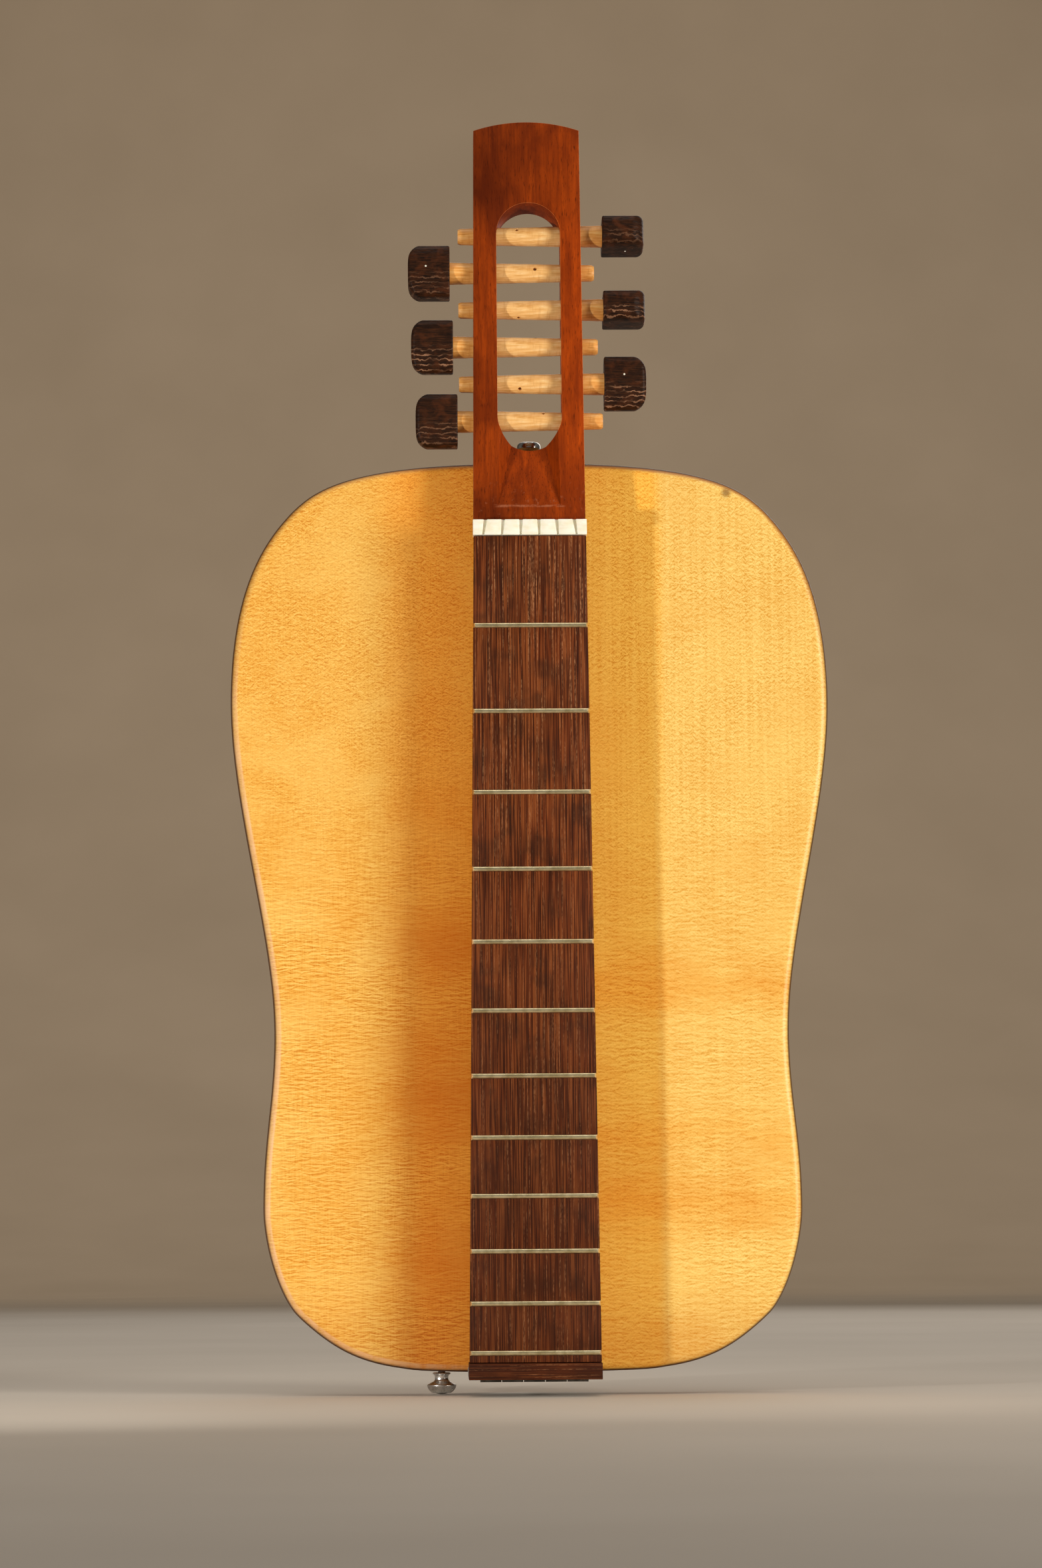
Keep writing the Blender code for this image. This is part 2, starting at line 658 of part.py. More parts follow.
def neck_blank(name):
    """The neck and headstock as one piece, before they are parted at the scarf joint."""
    heel_depth = HEEL_Y - NECK_FACE_Y
    start_z = BOARD_END_Z + GAP
    rings = []
    for share in (0.0, 0.15, 0.35, 0.55, 0.75, 1.0):
        ease = (1 + math.cos(math.pi * share)) / 2
        z = start_z + share * HEEL_RISE
        depth = blend(NECK_DEPTH, heel_depth, ease)
        rings.append(neck_section(z, NECK_FACE_Y, board_half_width(z), depth, 0.8 * ease))
    head_depth = HEAD_THICKNESS / math.cos(HEAD_TILT)
    for before_nut, squareness in ((120.0, 0.0), (22.0, 0.0), (8.0, 0.45), (0.0, 0.85)):
        z = NUT_Z - before_nut * MM
        depth = blend(NECK_DEPTH, head_depth, squareness)
        rings.append(neck_section(z, NECK_FACE_Y, board_half_width(z), depth, squareness))
    rings.append(neck_section(HEAD_START_Z, NECK_FACE_Y, BOARD_HALF_WIDTH_NUT, head_depth, 1.0))
    top_z = HEAD_START_Z + HEAD_LENGTH
    rings.append(neck_section(top_z, head_face_y(top_z), head_half_width(top_z), head_depth, 1.0))
    return loft(name, rings, "mahogany")


def scarf_cutter(name, side):
    """A block on one side of the scarf plane, which starts under the nut and runs down."""
    slope = math.atan2(SCARF_RUN, NECK_DEPTH)
    start = -GAP / 2 if side > 0 else -REACH * 2
    end = REACH * 2 if side > 0 else GAP / 2
    block = box(name, (-REACH, -REACH * 2, start), (REACH, REACH * 2, end))
    block.rotation_euler.x = -slope
    block.location = (0.0, NECK_FACE_Y, NUT_Z + NUT_LENGTH / 2)
    return block


def capsule(half_width, low, high, steps):
    """A slot's outline with round ends, as (x, height) points."""
    outline = []
    for centre, start in ((high - half_width, 0.0), (low + half_width, math.pi)):
        for step in range(steps + 1):
            angle = start + math.pi * step / steps
            outline.append((half_width * math.cos(angle), centre + half_width * math.sin(angle)))
    return outline


def ramp_cutter():
    """The ramp from the nut into the slot: its flat floor deepens and narrows towards the tip."""
    above_face = 1.0 * MM
    lid = -1.2 * above_face
    ramp_end = SLOT_START + SLOT_HALF_WIDTH
    lead_in = above_face * (ramp_end - RAMP_START) / RAMP_DEPTH
    ends = (
        (RAMP_START - lead_in, -above_face, RAMP_HALF_WIDTH, RAMP_HALF_WIDTH),
        (ramp_end, RAMP_DEPTH, SLOT_HALF_WIDTH - SLOT_OFFSET - 0.1 * MM, RAMP_FLOOR_HALF_WIDTH),
    )
    rings = []
    for height, depth, lid_half, floor_half in ends:
        lid_edge = [(-lid_half, lid, height), (lid_half, lid, height)]
        floor_edge = [(floor_half, depth, height), (-floor_half, depth, height)]
        rings.append(lid_edge + floor_edge)
    return loft("ramp_cutter", rings)


def build_headstock(hinge_axis, head_frame):
    headstock = attach(neck_blank("headstock"), hinge_axis)
    apply_cut(headstock, scarf_cutter("scarf_cutter_head", -1))

    radius = (HEAD_HALF_WIDTH_TIP**2 + CROWN_RISE**2) / (2 * CROWN_RISE)
    spread = math.asin(1.3 * HEAD_HALF_WIDTH_TIP / radius)
    crown = [(REACH, HEAD_LENGTH + REACH), (-REACH, HEAD_LENGTH + REACH)]
    for step in range(15):
        angle = -spread + 2 * spread * step / 14
        crown.append((radius * math.sin(angle), HEAD_LENGTH - radius * (1 - math.cos(angle))))
    outer = crown[2][1]
    crown.insert(2, (-REACH, outer))
    crown.append((REACH, outer))
    slot = [(x + SLOT_OFFSET, z) for x, z in capsule(SLOT_HALF_WIDTH, SLOT_START, SLOT_END, 12)]
    cutters = [
        prism("crown_cutter", crown, "Y", -REACH, REACH),
        prism("slot_cutter", slot, "Y", -REACH, REACH),
    ]
    cutters.append(ramp_cutter())
    for cutter in cutters:
        cutter.parent = head_frame
        apply_cut(headstock, cutter)
    return headstock


def build_neck(hinge_axis, screw_cutters):
    shaft = attach(neck_blank("neck_shaft"), hinge_axis)
    apply_cut(shaft, scarf_cutter("scarf_cutter_shaft", 1))
    for cutter in screw_cutters:
        apply_cut(shaft, cutter)

    top = BOARD_TOP_Y
    end_z = BOARD_END_Z + GAP
    start_z = NUT_Z - GAP
    corners = (
        (board_half_width(end_z), end_z), (board_half_width(start_z), start_z),
        (-board_half_width(start_z), start_z), (-board_half_width(end_z), end_z),
    )
    board = prism("fingerboard", corners, "Y", top, top + BOARD_THICKNESS, "wenge")
    attach(board, hinge_axis)
    slots = []
    crown_half = 1.0 * MM
    crown_height = 1.0 * MM
    tang_half = 0.25 * MM
    lift = 0.1 * MM
    for number in range(1, FRET_COUNT + 1):
        z = NUT_Z - SCALE_LENGTH * (1 - 2 ** (-number / 12))
        reach = board_half_width(z) - 0.1 * MM
        section = [
            (top + 2.0 * MM, z + tang_half),
            (top - lift, z + tang_half),
        ]
        for step in range(7):
            angle = math.pi * step / 6
            height = lift + crown_height * math.sin(angle)
            section.append((top - height, z + crown_half * math.cos(angle)))
        section += [(top - lift, z - tang_half), (top + 2.0 * MM, z - tang_half)]
        fret = prism(f"fret_{number:02d}", section, "X", -reach, reach, "nickel_silver")
        attach(fret, hinge_axis)
        low = (-REACH, top - REACH, z - 2 * tang_half)
        high = (REACH, top + 2.3 * MM, z + 2 * tang_half)
        slots.append(box("fret_slot", low, high))
    apply_cut(board, combined("fret_slot_cutter", slots))


def build_nut(hinge_axis):
    base = NECK_FACE_Y - GAP
    crest = BOARD_TOP_Y - NUT_PROUD
    outline = (
        (base, NUT_Z), (crest, NUT_Z), (crest, NUT_Z + 4.0 * MM),
        (crest + 0.9 * MM, HEAD_START_Z), (base, HEAD_START_Z),
    )
    half = BOARD_HALF_WIDTH_NUT + 0.3 * MM
    nut = attach(prism("nut", outline, "X", -half, half, "bone"), hinge_axis)
    slot_ends = (
        (NUT_Z - 1.0 * MM, 7.55 * MM, 0.35 * MM, 1.0 * MM),
        (HEAD_START_Z + 1.0 * MM, 7.05 * MM, 0.7 * MM, 2.0 * MM),
    )
    slots = []
    for string in range(STRING_COUNT):
        place = string - (STRING_COUNT - 1) / 2
        rings = []
        for z, pitch, half_width, depth in slot_ends:
            left = place * pitch - half_width
            right = place * pitch + half_width
            lid = crest - 1.0 * MM
            floor = crest + depth
            rings.append([(left, lid, z), (right, lid, z), (right, floor, z), (left, floor, z)])
        slots.append(loft("nut_slot", rings))
    apply_cut(nut, combined("nut_slot_cutter", slots))


# The pegs

def peg_radius(distance, seat):
    """Radius at a distance from the centreline towards the head, for a peg seated so far out."""
    share = (PEG_INNER_FACE + seat - distance) / (PEG_INNER_FACE + PEG_FAR_END)
    return blend(PEG_RADIUS_WIDE, PEG_RADIUS_NARROW, share)


def along_x(points, side):
    return [[(side * x, y, z) for y, z in ring] for x, ring in points]


def peg_head_rings(side, face_x):
    """A rounded block with a flat inner face and a domed outer end.

    Each stage gives how far the ring stands back from the domed end, and the share of the
    section by which it has drawn in. The first one is the flat face.
    """
    stages = ((None, 0.0), (1.8, 0.0), (0.7, 0.07), (0.15, 0.2), (0.0, 0.36), (0.0, 0.66))
    rings = []
    for back, drawn_in in stages:
        ring = []
        for y, z in circle(1.0, 20):
            across = math.copysign(abs(y) ** PEG_HEAD_SQUARENESS, y)
            along = math.copysign(abs(z) ** PEG_HEAD_SQUARENESS, z)
            x = 0.0
            if back is not None:
                dome = PEG_HEAD_DOME * abs(along * (1 - drawn_in)) ** PEG_HEAD_DOME_POWER
                x = PEG_HEAD_LENGTH - dome - back * MM
            half_thickness = PEG_HEAD_HALF_THICKNESS * (1 - drawn_in)
            half_height = PEG_HEAD_HALF_HEIGHT * (1 - drawn_in)
            ring.append((side * (face_x + x), across * half_thickness, along * half_height))
        rings.append(ring)
    return rings


def build_peg(number, head_frame, headstock):
    side, turn, seat, hole_x, hole_turn = PEGS[number - 1]
    height = FIRST_PEG + (number - 1) * PEG_PITCH
    axis = add_empty(f"peg_{number}_axis", (0.0, HEAD_THICKNESS / 2, height), head_frame)
    face = PEG_INNER_FACE + seat
    far = seat - PEG_FAR_END
    chamfer = 0.5 * MM
    stations = [
        (far, peg_radius(far, seat) - chamfer),
        (far + chamfer, peg_radius(far, seat)),
        (face, PEG_RADIUS_WIDE),
        (face + GAP, PEG_RADIUS_WIDE - chamfer),
        (face + PEG_TENON, PEG_RADIUS_WIDE - chamfer),
    ]
    rings = along_x([(x, circle(r, PEG_SIDES)) for x, r in stations], side)
    shaft = loft(f"peg_{number}_shaft", rings, "boxwood")
    shaft.parent = axis
    hole_ring = circle(STRING_HOLE_RADIUS, SMALL_HOLE_SIDES, (hole_x, 0.0))
    hole = prism(f"peg_{number}_hole_cutter", hole_ring, "Y", -REACH, REACH)
    hole.rotation_euler.x = -math.radians(hole_turn)
    hole.parent = axis
    apply_cut(shaft, hole)

    bore_scale = 1 / math.cos(math.pi / PEG_SIDES)
    bore_stations = []
    for x in (-PEG_BORE_REACH, PEG_BORE_REACH):
        radius = (peg_radius(x, seat) + PEG_CLEARANCE) * bore_scale
        bore_stations.append((x, circle(radius, PEG_SIDES)))
    bore = loft(f"peg_{number}_bore_cutter", along_x(bore_stations, side))
    bore.parent = axis
    apply_cut(headstock, bore)

    head = loft(f"peg_{number}_head", peg_head_rings(side, face + GAP), "wenge")
    head.rotation_euler.x = math.radians(turn)
    head.parent = axis
    tenon_ring = circle(PEG_RADIUS_WIDE, PEG_SIDES)
    tenon_stations = [(face, tenon_ring), (face + PEG_TENON + GAP, tenon_ring)]
    tenon_bore = loft(f"peg_{number}_tenon_cutter", along_x(tenon_stations, side))
    tenon_bore.parent = axis
    apply_cut(head, tenon_bore)


def build():
    clear_scene()
    ribs = build_shell()
    neck_block, tail_block = build_blocks()
    build_braces()
    build_bridge()
    tail_z = OUTLINE_KNOTS[0][1] * MM
    build_strap_button("tail", 0.6 * MM, tail_z + GAP, 1, ribs + [tail_block])
    build_strap_button("heel", -37.0 * MM, -0.1 * MM, -1, [ribs[0], neck_block])

    hinge_axis = add_empty("neck_hinge_axis", (0.0, HINGE_Y, HINGE_Z))
    head_place = Vector((0.0, NECK_FACE_Y, HEAD_START_Z)) - hinge_axis.location
    head_frame = add_empty("headstock_frame", head_place, hinge_axis, -HEAD_TILT)
    screw_cutters = build_hinge(hinge_axis, neck_block)
    build_neck(hinge_axis, screw_cutters)
    build_nut(hinge_axis)
    headstock = build_headstock(hinge_axis, head_frame)
    for number in range(1, len(PEGS) + 1):
        build_peg(number, head_frame, headstock)


build()
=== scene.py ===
"""The looks of a folding travel guitar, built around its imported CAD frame.

Every piece is modelled in the frame's metres: +X right, +Y from the back plate to the
soundboard, +Z up towards the tail. MM turns millimetres into metres.
"""
import json
import math

import bmesh
import bpy
from mathutils import Matrix, Vector


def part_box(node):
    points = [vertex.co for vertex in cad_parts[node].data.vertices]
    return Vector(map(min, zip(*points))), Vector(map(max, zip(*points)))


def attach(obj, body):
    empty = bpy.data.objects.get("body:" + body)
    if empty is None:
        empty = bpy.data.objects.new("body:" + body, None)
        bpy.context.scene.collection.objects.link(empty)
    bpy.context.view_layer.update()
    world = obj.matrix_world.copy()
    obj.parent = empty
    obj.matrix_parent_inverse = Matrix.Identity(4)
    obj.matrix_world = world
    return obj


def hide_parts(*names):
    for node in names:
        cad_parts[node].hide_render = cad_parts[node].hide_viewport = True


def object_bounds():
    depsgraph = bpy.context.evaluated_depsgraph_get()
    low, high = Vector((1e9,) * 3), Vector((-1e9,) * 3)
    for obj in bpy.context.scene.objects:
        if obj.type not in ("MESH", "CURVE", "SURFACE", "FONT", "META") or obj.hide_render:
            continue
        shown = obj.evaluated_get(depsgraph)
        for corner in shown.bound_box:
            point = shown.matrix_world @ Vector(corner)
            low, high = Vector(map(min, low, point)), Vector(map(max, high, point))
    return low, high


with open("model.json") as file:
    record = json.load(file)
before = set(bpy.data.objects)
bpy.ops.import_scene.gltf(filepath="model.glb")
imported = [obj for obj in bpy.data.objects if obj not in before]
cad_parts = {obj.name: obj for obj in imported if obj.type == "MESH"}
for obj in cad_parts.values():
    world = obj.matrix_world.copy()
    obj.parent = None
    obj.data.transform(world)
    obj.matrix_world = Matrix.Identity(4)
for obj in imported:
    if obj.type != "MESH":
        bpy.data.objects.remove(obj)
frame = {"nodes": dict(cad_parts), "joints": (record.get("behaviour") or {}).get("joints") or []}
CAD_LOW, CAD_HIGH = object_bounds()

MM = 0.001
SHARP_ANGLE = math.radians(38)
HAIRLINE = 0.05 * MM            # left between two glued pieces

# Camera, aimed at the fingerboard
CAMERA_DISTANCE = 1.8
CAMERA_LENS = 103.82
CAMERA_SENSOR = 36.0
CAMERA_AIM_X = -4.26 * MM
CAMERA_AIM_ABOVE_NUT = -100.2 * MM
CAMERA_YAW = math.radians(1.1)
CAMERA_LOOK_UP = math.radians(5.83)
CAMERA_ROLL = math.radians(0.4)

# Studio, in metres
FLOOR_HALF_WIDTH = 9.0
FLOOR_FRONT = -8.0
FLOOR_BACK = 3.8
SWEEP_RADIUS = 2.4
SWEEP_HEIGHT = 6.0

# Body
PLATE_ROUNDING = 3.6 * MM
TOP_ROUNDING = 1.6 * MM
SOUNDHOLE_RADIUS = 40.0 * MM
SOUNDHOLE_Z = 115.0 * MM
ROSETTE_INNER = 43.0 * MM
ROSETTE_OUTER = 52.0 * MM
BANDS_HEIGHT = 200.0 * MM       # the cross bands' positions are shares of this
DING_X = 80.5 * MM
DING_Z = 354.5 * MM

# Neck and headstock
NECK_DEPTH = 14.2 * MM
HEEL_RISE = 42.0 * MM
SCARF_RUN = 42.0 * MM
HEAD_THICKNESS = 15.0 * MM
HEAD_LENGTH = 168.0 * MM
HEAD_HALF_WIDTH_TIP = 21.5 * MM
CROWN_RISE = 3.6 * MM
SLOT_HALF_WIDTH = 13.0 * MM
SLOT_OFFSET = 0.5 * MM
SLOT_START = 31.2 * MM
SLOT_END = 133.7 * MM
RAMP_START = 6.4 * MM
RAMP_DEPTH = 11.0 * MM
RAMP_HALF_WIDTH = 13.5 * MM
RAMP_FLOOR_HALF_WIDTH = 4.6 * MM
BACK_CORNER = 2.5 * MM

# Pegs, from the nut to the tip
PEG_RADIUS_WIDE = 4.5 * MM
PEG_RADIUS_NARROW = 3.3 * MM
PEG_HEAD_HALF_HEIGHT = 11.0 * MM
PEG_HEAD_HALF_THICKNESS = 6.4 * MM
PEG_HEAD_SQUARENESS = 0.5
PEG_HEAD_DOME = 3.2 * MM
PEG_HEAD_DOME_POWER = 4
PEG_TURNS = (8.0, 12.0, 12.0, 90.0, 0.0, 86.0)
HEAD_LINE_SPACING = 2.0 * MM
HEAD_LINES = (0.5, 0.9, 1.0, 0.8, 0.35, 0.25)   # strength of each head's pale grain lines
# Small bone pins set in some of the heads: how far out and how far up from the middle
PINS = {2: (8.0 * MM, 3.6 * MM), 5: (9.7 * MM, 1.4 * MM), 6: (9.5 * MM, 0.0)}
STRING_HOLES = (
    (6.0 * MM, 45.0), (-3.3 * MM, -45.0), (3.0 * MM, 65.0),
    (-3.5 * MM, 110.0), (3.2 * MM, 12.0), (-4.0 * MM, 33.0),
)
STRING_HOLE_RADIUS = 0.75 * MM

# Read off the frame
NECK_FACE_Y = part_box("fingerboard")[1].y + 0.3 * MM
HEAD_START_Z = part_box("nut")[1].z
NUT_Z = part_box("nut")[0].z
BOARD_END_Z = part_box("fingerboard")[0].z
BOARD_TOP_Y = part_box("fingerboard")[0].y
BACK_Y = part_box("back_plate")[0].y
FRONT_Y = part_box("soundboard")[1].y
HEEL_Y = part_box("neck_shaft")[1].y
SEAT_HALF_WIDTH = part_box("joint_plate_neck")[1].x + 0.2 * MM
SEAT_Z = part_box("joint_plate_body")[1].z + 0.3 * MM
JOINTS = {joint["name"]: joint for joint in frame["joints"]}
FIRST_PEG_PLACE = Vector(JOINTS["peg_1_turn"]["pos_m"])
LAST_PEG_PLACE = Vector(JOINTS["peg_6_turn"]["pos_m"])
HEAD_TILT = math.atan2(
    LAST_PEG_PLACE.y - FIRST_PEG_PLACE.y, LAST_PEG_PLACE.z - FIRST_PEG_PLACE.z
)
HINGE_Y = JOINTS["neck_fold"]["pos_m"][1]
HINGE_Z = JOINTS["neck_fold"]["pos_m"][2]


# Mesh helpers

def blend(a, b, share):
    return a + (b - a) * share


def add_object(name, vertices, faces):
    mesh = bpy.data.meshes.new(name)
    mesh.from_pydata([tuple(v) for v in vertices], [], faces)
    shape = bmesh.new()
    shape.from_mesh(mesh)
    bmesh.ops.recalc_face_normals(shape, faces=shape.faces)
    shape.to_mesh(mesh)
    shape.free()
    made = bpy.data.objects.new(name, mesh)
    bpy.context.scene.collection.objects.link(made)
    return made


def loft(name, rings, closed=False):
    """Join equal rings of points in order, with end caps unless the loft closes on itself."""
    size = len(rings[0])
    vertices = [point for ring in rings for point in ring]
    faces = []
    for band in range(len(rings) if closed else len(rings) - 1):
        low = band * size
        high = (band + 1) % len(rings) * size
        for i in range(size):
            j = (i + 1) % size
            faces.append((low + i, low + j, high + j, high + i))
    if not closed:
        faces.append(tuple(range(size)))
        faces.append(tuple(range(len(vertices) - size, len(vertices))))
    return add_object(name, vertices, faces)


def box(name, low, high):
    corners = [(low[0], low[1]), (high[0], low[1]), (high[0], high[1]), (low[0], high[1])]
    return loft(name, [[(x, y, z) for x, y in corners] for z in (low[2], high[2])])


def circle(radius, count, centre=(0.0, 0.0)):
    angles = [2 * math.pi * i / count for i in range(count)]
    return [(centre[0] + radius * math.cos(a), centre[1] + radius * math.sin(a)) for a in angles]


def turned(name, profile, count=64, closed=False):
    """Turn a profile of (radius, height) points in millimetres about local Z."""
    rings = [[(x, y, up * MM) for x, y in circle(radius * MM, count)] for radius, up in profile]
    return loft(name, rings, closed)


def arc(centre, radius, start, end, steps):
    """Points of an arc in a profile, with its angles in degrees."""
    points = []
    for step in range(steps + 1):
        angle = math.radians(blend(start, end, step / steps))
        points.append((centre[0] + radius * math.cos(angle), centre[1] + radius * math.sin(angle)))
    return points


def bake(made):
    """Make the modified shape the object's own mesh."""
    depsgraph = bpy.context.evaluated_depsgraph_get()
    mesh = bpy.data.meshes.new_from_object(made.evaluated_get(depsgraph))
    made.modifiers.clear()
    made.data = mesh
    return made


def cut(made, cutter, operation="DIFFERENCE"):
    modifier = made.modifiers.new("cut", "BOOLEAN")
    modifier.operation = operation
    modifier.solver = "EXACT"
    modifier.object = cutter
    bake(made)
    bpy.data.objects.remove(cutter, do_unlink=True)
    return made


def round_edges(made, width, segments=3, angle=40.0, material=-1):
    modifier = made.modifiers.new("round", "BEVEL")
    modifier.width = width
    modifier.segments = segments
    modifier.limit_method = "ANGLE"
    modifier.angle_limit = math.radians(angle)
    modifier.material = material
    return bake(made)


def copied(name, node):
    """The CAD node's shape as a new object, with its flat faces whole again."""
    mesh = frame["nodes"][node].data.copy()
    mesh.materials.clear()
    shape = bmesh.new()
    shape.from_mesh(mesh)
    bmesh.ops.remove_doubles(shape, verts=shape.verts, dist=0.002 * MM)
    bmesh.ops.dissolve_limit(
        shape, angle_limit=math.radians(0.8), verts=shape.verts, edges=shape.edges
    )
    shape.to_mesh(mesh)
    shape.free()
    made = bpy.data.objects.new(name, mesh)
    bpy.context.scene.collection.objects.link(made)
    return made


def dress(made, body, materials, replaces=()):
    """Shade a finished piece and hang it on its CAD body."""
    if not isinstance(materials, (list, tuple)):
        materials = [materials]
    if len(made.data.materials) != len(materials):
        made.data.materials.clear()
        for material in materials:
            made.data.materials.append(material)
    made.data.shade_smooth()
    made.data.set_sharp_from_angle(angle=SHARP_ANGLE)
    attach(made, body)
    if replaces:
        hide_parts(*replaces)
    return made


def head_point(x, depth, height):
    """A point in the tilted headstock: across, below its face, and up from the nut."""
    return Vector((
        x,
        NECK_FACE_Y + depth * math.cos(HEAD_TILT) + height * math.sin(HEAD_TILT),
        HEAD_START_Z - depth * math.sin(HEAD_TILT) + height * math.cos(HEAD_TILT),
    ))


# Material helpers

def add_node(tree, kind, inputs=None, **settings):
    made = tree.nodes.new(kind)
    for key, value in settings.items():
        setattr(made, key, value)
    for key, value in (inputs or {}).items():
        socket = made.inputs[key]
        if isinstance(value, bpy.types.NodeSocket):
            tree.links.new(value, socket)
        else:
            socket.default_value = value
    return made


def new_material(name, **constants):
    material = bpy.data.materials.new(name)
    material.use_nodes = True
    shader = material.node_tree.nodes["Principled BSDF"]
    for key, value in constants.items():
        shader.inputs[key.replace("_", " ")].default_value = value
    return material, material.node_tree, shader


def coordinates(tree, size, offset=(0.0, 0.0, 0.0)):
    """Object coordinates divided by a feature size in millimetres along each axis."""
    mapping = add_node(tree, "ShaderNodeMapping", {
        "Vector": object_place(tree),
        "Scale": tuple(1 / (s * MM) for s in size),
        "Location": offset,
    })
    return mapping.outputs["Vector"]


def noise(tree, size, detail=3.0, roughness=0.55, distortion=0.0, offset=(0.0, 0.0, 0.0)):
    made = add_node(tree, "ShaderNodeTexNoise", {
        "Vector": coordinates(tree, size, offset),
        "Scale": 1.0,
        "Detail": detail,
        "Roughness": roughness,
        "Distortion": distortion,
    })
    return made.outputs["Fac"]


def tree_of(*values):
    """The node tree that the first socket among the values belongs to."""
    return next(value.id_data for value in values if isinstance(value, bpy.types.NodeSocket))


def ramp(factor, stops):
    """Grey or colour ramp: stops are (position, value or colour)."""
    made = add_node(tree_of(factor), "ShaderNodeValToRGB", {"Fac": factor})
    elements = made.color_ramp.elements
    while len(elements) < len(stops):
        elements.new(0.5)
    for element, (position, value) in zip(elements, stops):
        element.position = position
        colour = value if isinstance(value, tuple) else (value, value, value)
        element.color = (*colour, 1.0)
    return made.outputs["Color"]


def mix(factor, a, b, kind="MIX"):
    inputs = {0: factor}
    for index, value in ((6, a), (7, b)):
        inputs[index] = (*value, 1.0) if isinstance(value, tuple) else value
    tree = tree_of(factor, a, b)
    made = add_node(tree, "ShaderNodeMix", inputs, data_type="RGBA", blend_type=kind)
    return made.outputs[2]


def maths(operation, a, b=0.0):
    made = add_node(tree_of(a, b), "ShaderNodeMath", {0: a, 1: b}, operation=operation)
    return made.outputs[0]


def times(a, b):
    return maths("MULTIPLY", a, b)


def added(a, b):
    return maths("ADD", a, b)


def clamped(value):
    return add_node(tree_of(value), "ShaderNodeClamp", {"Value": value}).outputs[0]


def object_place(tree):
    return add_node(tree, "ShaderNodeTexCoord").outputs["Object"]


def object_axis(tree, axis):
    parts = add_node(tree, "ShaderNodeSeparateXYZ", {"Vector": object_place(tree)})
    return parts.outputs[axis]


def axis_share(tree, axis, start, end):
    """0 at start and 1 at end along an axis of the object, in metres."""
    made = add_node(tree, "ShaderNodeMapRange", {
        "Value": object_axis(tree, axis), "From Min": start, "From Max": end,
    }, interpolation_type="SMOOTHSTEP")
    return made.outputs["Result"]


def roughen(shader, factor, low, high):
    made = add_node(shader.id_data, "ShaderNodeMapRange", {
        "Value": factor, "To Min": low, "To Max": high,
    })
    shader.id_data.links.new(made.outputs["Result"], shader.inputs["Roughness"])


def bump(shader, height, strength, distance):
    made = add_node(shader.id_data, "ShaderNodeBump", {
        "Height": height, "Strength": strength, "Distance": distance,
    })
    shader.id_data.links.new(made.outputs["Normal"], shader.inputs["Normal"])


def paint(shader, colour):
    shader.id_data.links.new(colour, shader.inputs["Base Color"])


# Materials

def ripple(tree, size, shift, gain, distortion=0.5, offset=(0.0, 0.0, 0.0)):
    """Fine marks that look pressed in: a noise less its own copy moved up by shift millimetres."""
    here = noise(tree, size, 3.0, 0.55, distortion, offset)
    moved = (offset[0], offset[1], offset[2] + shift / size[2])
    above = noise(tree, size, 3.0, 0.55, distortion, moved)
    slope = times(maths("SUBTRACT", here, above), gain)
    return clamped(added(slope, 0.5))


def maple_back_material():
    """Golden lacquered maple: pressed ripples on the left, flecks and cross bands on the right."""
    material, tree, shader = new_material("maple_back", Specular_IOR_Level=0.35)
    mottle = ripple(tree, (1.6, 40.0, 1.2), 0.45, 3.0, 0.8)
    curl = ripple(tree, (4.6, 40.0, 1.1), 0.42, 3.8, 0.6)
    fibres = noise(tree, (0.5, 40.0, 7.0), 3.0, 0.6)
    fleck = ripple(tree, (1.3, 40.0, 1.4), 0.5, 3.6, 0.9, (3.0, 0.0, 8.0))
    streaks = noise(tree, (1.1, 40.0, 60.0), 3.0, 0.6, 0.2)
    cross = ripple(tree, (5.5, 40.0, 1.5), 0.55, 3.8, 0.8, (7.0, 0.0, 3.0))
    clouds = noise(tree, (42.0, 80.0, 30.0), 4.0, 0.55, 0.5)
    glow = noise(tree, (30.0, 80.0, 26.0), 3.0, 0.5, 0.4, (5.0, 0.0, 9.0))
    low_share = axis_share(tree, "Z", 290 * MM, 150 * MM)
    right_share = axis_share(tree, "X", -15 * MM, 30 * MM)
    left_figure = mix(low_share, mottle, curl)
    left_figure = mix(0.25, left_figure, ramp(fibres, ((0.36, 0.1), (0.64, 0.9))))
    right_figure = mix(0.3, fleck, ramp(streaks, ((0.36, 0.1), (0.64, 0.9))))
    right_figure = mix(times(low_share, 0.5), right_figure, cross)
    figure = mix(right_share, left_figure, right_figure)
    left_wood = ramp(figure, ((0.1, (0.62, 0.230, 0.022)), (0.5, (0.80, 0.415, 0.070)),
                              (0.9, (0.91, 0.570, 0.145))))
    right_wood = ramp(figure, ((0.1, (0.70, 0.340, 0.048)), (0.5, (0.86, 0.545, 0.134)),
                               (0.9, (0.95, 0.690, 0.225))))
    wood = mix(right_share, left_wood, right_wood)
    calm = added(times(low_share, 0.15), 0.2)
    patches = times(ramp(clouds, ((0.42, 0.0), (0.64, 1.0))), calm)
    wood = mix(patches, wood, (0.75, 0.320, 0.035))
    wood = mix(ramp(glow, ((0.46, 0.0), (0.66, 0.35))), wood, (0.90, 0.580, 0.150))
    wood = cross_bands(tree, wood, right_share)
    # painted shade beside the folded neck, a deeper orange
    wood = painted_neck_shade(tree, wood)
    # painted highlight and painted shade round the plate's edge, with a dark rim and a ding
    wood = plate_edge(tree, wood)
    paint(shader, wood)
    rim = axis_share(tree, "Y", BACK_Y + 0.01 * MM, BACK_Y + 0.25 * MM)
    rubbed_sheen = times(rim, axis_share(tree, "X", 60 * MM, -70 * MM))
    rough = added(times(figure, 0.3), rubbed_sheen)
    roughen(shader, added(rough, times(rim, 0.45)), 0.26, 0.52)
    bump(shader, figure, 0.3, 0.12 * MM)
    return material


